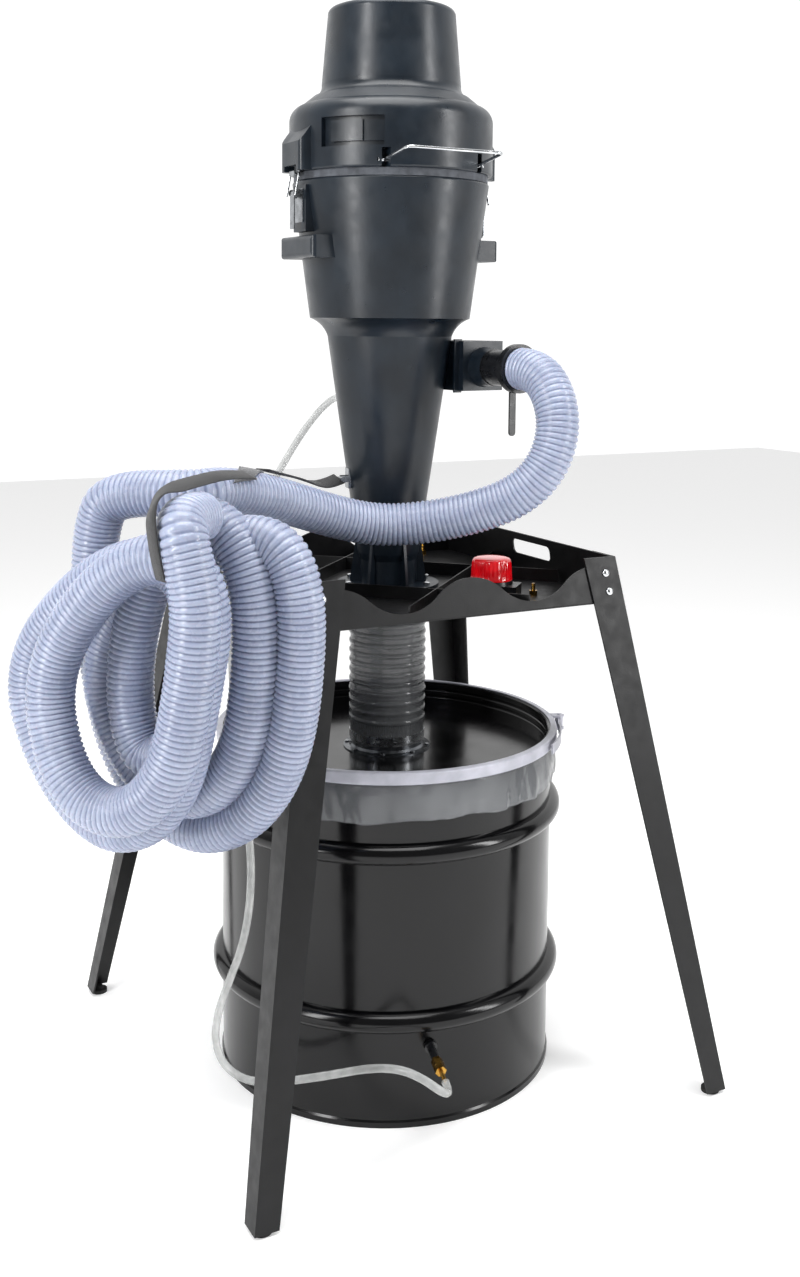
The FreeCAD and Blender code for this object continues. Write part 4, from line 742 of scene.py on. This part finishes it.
def cyclone_fastenings():
    """Hexagon bolts on the cyclone's flange and hexagon screws round the lid's collar."""
    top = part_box("tray_plate")[1][2] + FLANGE_RISE
    places = ring_places(FLANGE_BOLTS, FLANGE_BOLT_RING, top, FLANGE_BOLT_TURN)
    axes = np.repeat(UP[None, :], FLANGE_BOLTS, 0)
    hex_heads("flange_bolts", places, axes, FLANGE_BOLT_FLATS, FLANGE_BOLT_H)
    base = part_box("lid_collar")[0][2] + COLLAR_RISE
    places = ring_places(COLLAR_SCREWS, COLLAR_SCREW_RING, base, COLLAR_SCREW_TURN)
    axes = np.repeat(UP[None, :], COLLAR_SCREWS, 0)
    hex_heads("collar_screws", places, axes, COLLAR_SCREW_FLATS, COLLAR_SCREW_H, "zinc_band")


# ---------------------------------------------------------------- beacon

FLUTES = 30
FLUTE_DEPTH = 0.016         # half of it, as a share of the radius


def beacon_lens():
    """The ribbed lens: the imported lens's outline with flutes round it and a smooth crown."""
    low, high = (np.array(v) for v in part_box("beacon_lens"))
    centre = (low + high) / 2
    radius = (high[0] - low[0]) / 2
    rise = high[2] - low[2]
    outline = np.array([(1.0, 0.0), (1.0, 0.07), (0.985, 0.1), (0.975, 0.3), (0.96, 0.5), (0.945, 0.7),
                        (0.93, 0.8), (0.9, 0.88), (0.84, 0.94), (0.72, 0.975), (0.5, 0.99),
                        (0.25, 1.0), (0.01, 1.0)])
    columns = 180
    angle = np.linspace(0, 2 * np.pi, columns, endpoint=False)[None, :]
    fluted = np.interp(outline[:, 1], [0.08, 0.14, 0.8, 0.92], [0.0, 1.0, 1.0, 0.0])[:, None]
    around = radius * outline[:, :1] * (1 - FLUTE_DEPTH * fluted * (1 + np.cos(FLUTES * angle)))
    height = np.repeat(low[2] + rise * outline[:, 1:], columns, axis=1)
    x, y = centre[0] + around * np.cos(angle), centre[1] + around * np.sin(angle)
    points = np.stack([x, y, height], -1)
    faces = capped_faces(len(outline), columns)
    lens = piece("beacon_lens_ribbed", points.reshape(-1, 3), faces, "beacon_red")
    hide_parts("beacon_lens")
    return lens


# ---------------------------------------------------------------- studio

# The camera, in metres and radians, with its lens and film in mm.
CAMERA_REACH = 2.4326
CAMERA_HEIGHT = 1.2827
CAMERA_TURN = np.radians(27.57)
PITCH = 0.101
ROLL = 0.008
YAW = 0.008
LENS = 40.0
FILM_W = 36.0
SHIFT_UP = -0.137

FLOOR_HALF = 9.0
BRIGHT_SIDE = (0.463, 0.886, 0.0)       # where the world's light is strongest


def camera():
    """The camera, turned by the stand's angle, pitched down a little and shifted for the framing."""
    level = np.array([np.sin(YAW), np.cos(YAW), 0.0])
    right = np.array([np.cos(YAW), -np.sin(YAW), 0.0])
    ahead = level * np.cos(PITCH) - UP * np.sin(PITCH)
    over = level * np.sin(PITCH) + UP * np.cos(PITCH)
    side = np.cos(ROLL) * right + np.sin(ROLL) * over
    top = -np.sin(ROLL) * right + np.cos(ROLL) * over
    c, s = np.cos(CAMERA_TURN), np.sin(CAMERA_TURN)
    turn = np.array([[c, s, 0.0], [-s, c, 0.0], [0.0, 0.0, 1.0]])
    place = turn @ np.array([0.0, -CAMERA_REACH, CAMERA_HEIGHT])
    columns = np.column_stack([turn @ side, turn @ top, turn @ -ahead])
    matrix = np.eye(4)
    matrix[:3, :3] = columns
    matrix[:3, 3] = place
    data = bpy.data.cameras.new("camera")
    data.lens = LENS
    data.sensor_width = FILM_W
    data.shift_y = SHIFT_UP
    eye = bpy.data.objects.new("camera", data)
    eye.matrix_world = Matrix(matrix.tolist())
    bpy.context.scene.collection.objects.link(eye)
    bpy.context.scene.camera = eye


def softbox(name, place, target, width, height, power):
    """A rectangular studio light that faces a target."""
    data = bpy.data.lights.new(name, "AREA")
    data.shape = "RECTANGLE"
    data.size = width
    data.size_y = height
    data.energy = power
    ahead = unit(np.array(target, dtype=float) - np.array(place))
    side = unit(np.cross(ahead, UP))
    matrix = np.eye(4)
    matrix[:3, :3] = np.column_stack([side, np.cross(side, ahead), -ahead])
    matrix[:3, 3] = place
    lamp = bpy.data.objects.new(name, data)
    lamp.matrix_world = Matrix(matrix.tolist())
    bpy.context.scene.collection.objects.link(lamp)


def studio():
    """A pale floor, a world light that dims from behind the object to its front, and three softboxes."""
    corners = FLOOR_HALF * np.array([(-1, -1, 0), (1, -1, 0), (1, 1, 0), (-1, 1, 0)], dtype=float)
    mesh = bpy.data.meshes.new("floor")
    mesh.from_pydata(corners.tolist(), [], [[0, 1, 2, 3]])
    mesh.materials.append(pale_floor())
    floor = bpy.data.objects.new("floor", mesh)
    bpy.context.scene.collection.objects.link(floor)
    world = bpy.data.worlds.new("studio")
    world.use_nodes = True
    tree = world.node_tree
    around = add(tree, "ShaderNodeTexCoord")
    facing = add(tree, "ShaderNodeVectorMath", {0: around.outputs["Generated"], 1: BRIGHT_SIDE},
                 operation="DOT_PRODUCT")
    glow = add(tree, "ShaderNodeMapRange", {"Value": facing.outputs["Value"], "From Min": -0.35,
                                            "From Max": 0.45, "To Min": 0.22, "To Max": 1.1})
    background = tree.nodes["Background"]
    background.inputs["Color"].default_value = linear("#ffffff")
    tree.links.new(glow.outputs["Result"], background.inputs["Strength"])
    bpy.context.scene.world = world
    aim = (0.0, 0.0, 0.9)
    softbox("left_box", (-2.9, -1.0, 1.9), aim, width=0.6, height=2.4, power=70)
    softbox("right_box", (2.0, -2.4, 1.8), aim, width=0.5, height=2.4, power=55)
    softbox("top_box", (-0.3, -0.5, 3.7), aim, width=2.4, height=2.4, power=95)
    bpy.context.scene.view_settings.view_transform = "Standard"


# ---------------------------------------------------------------- build

finish_frame()
straps = strap_pieces()
suction_hose()
vacuum_tube()
bag_cuff()
stand_bolts()
cyclone_fastenings()
beacon_lens()
camera()
studio()
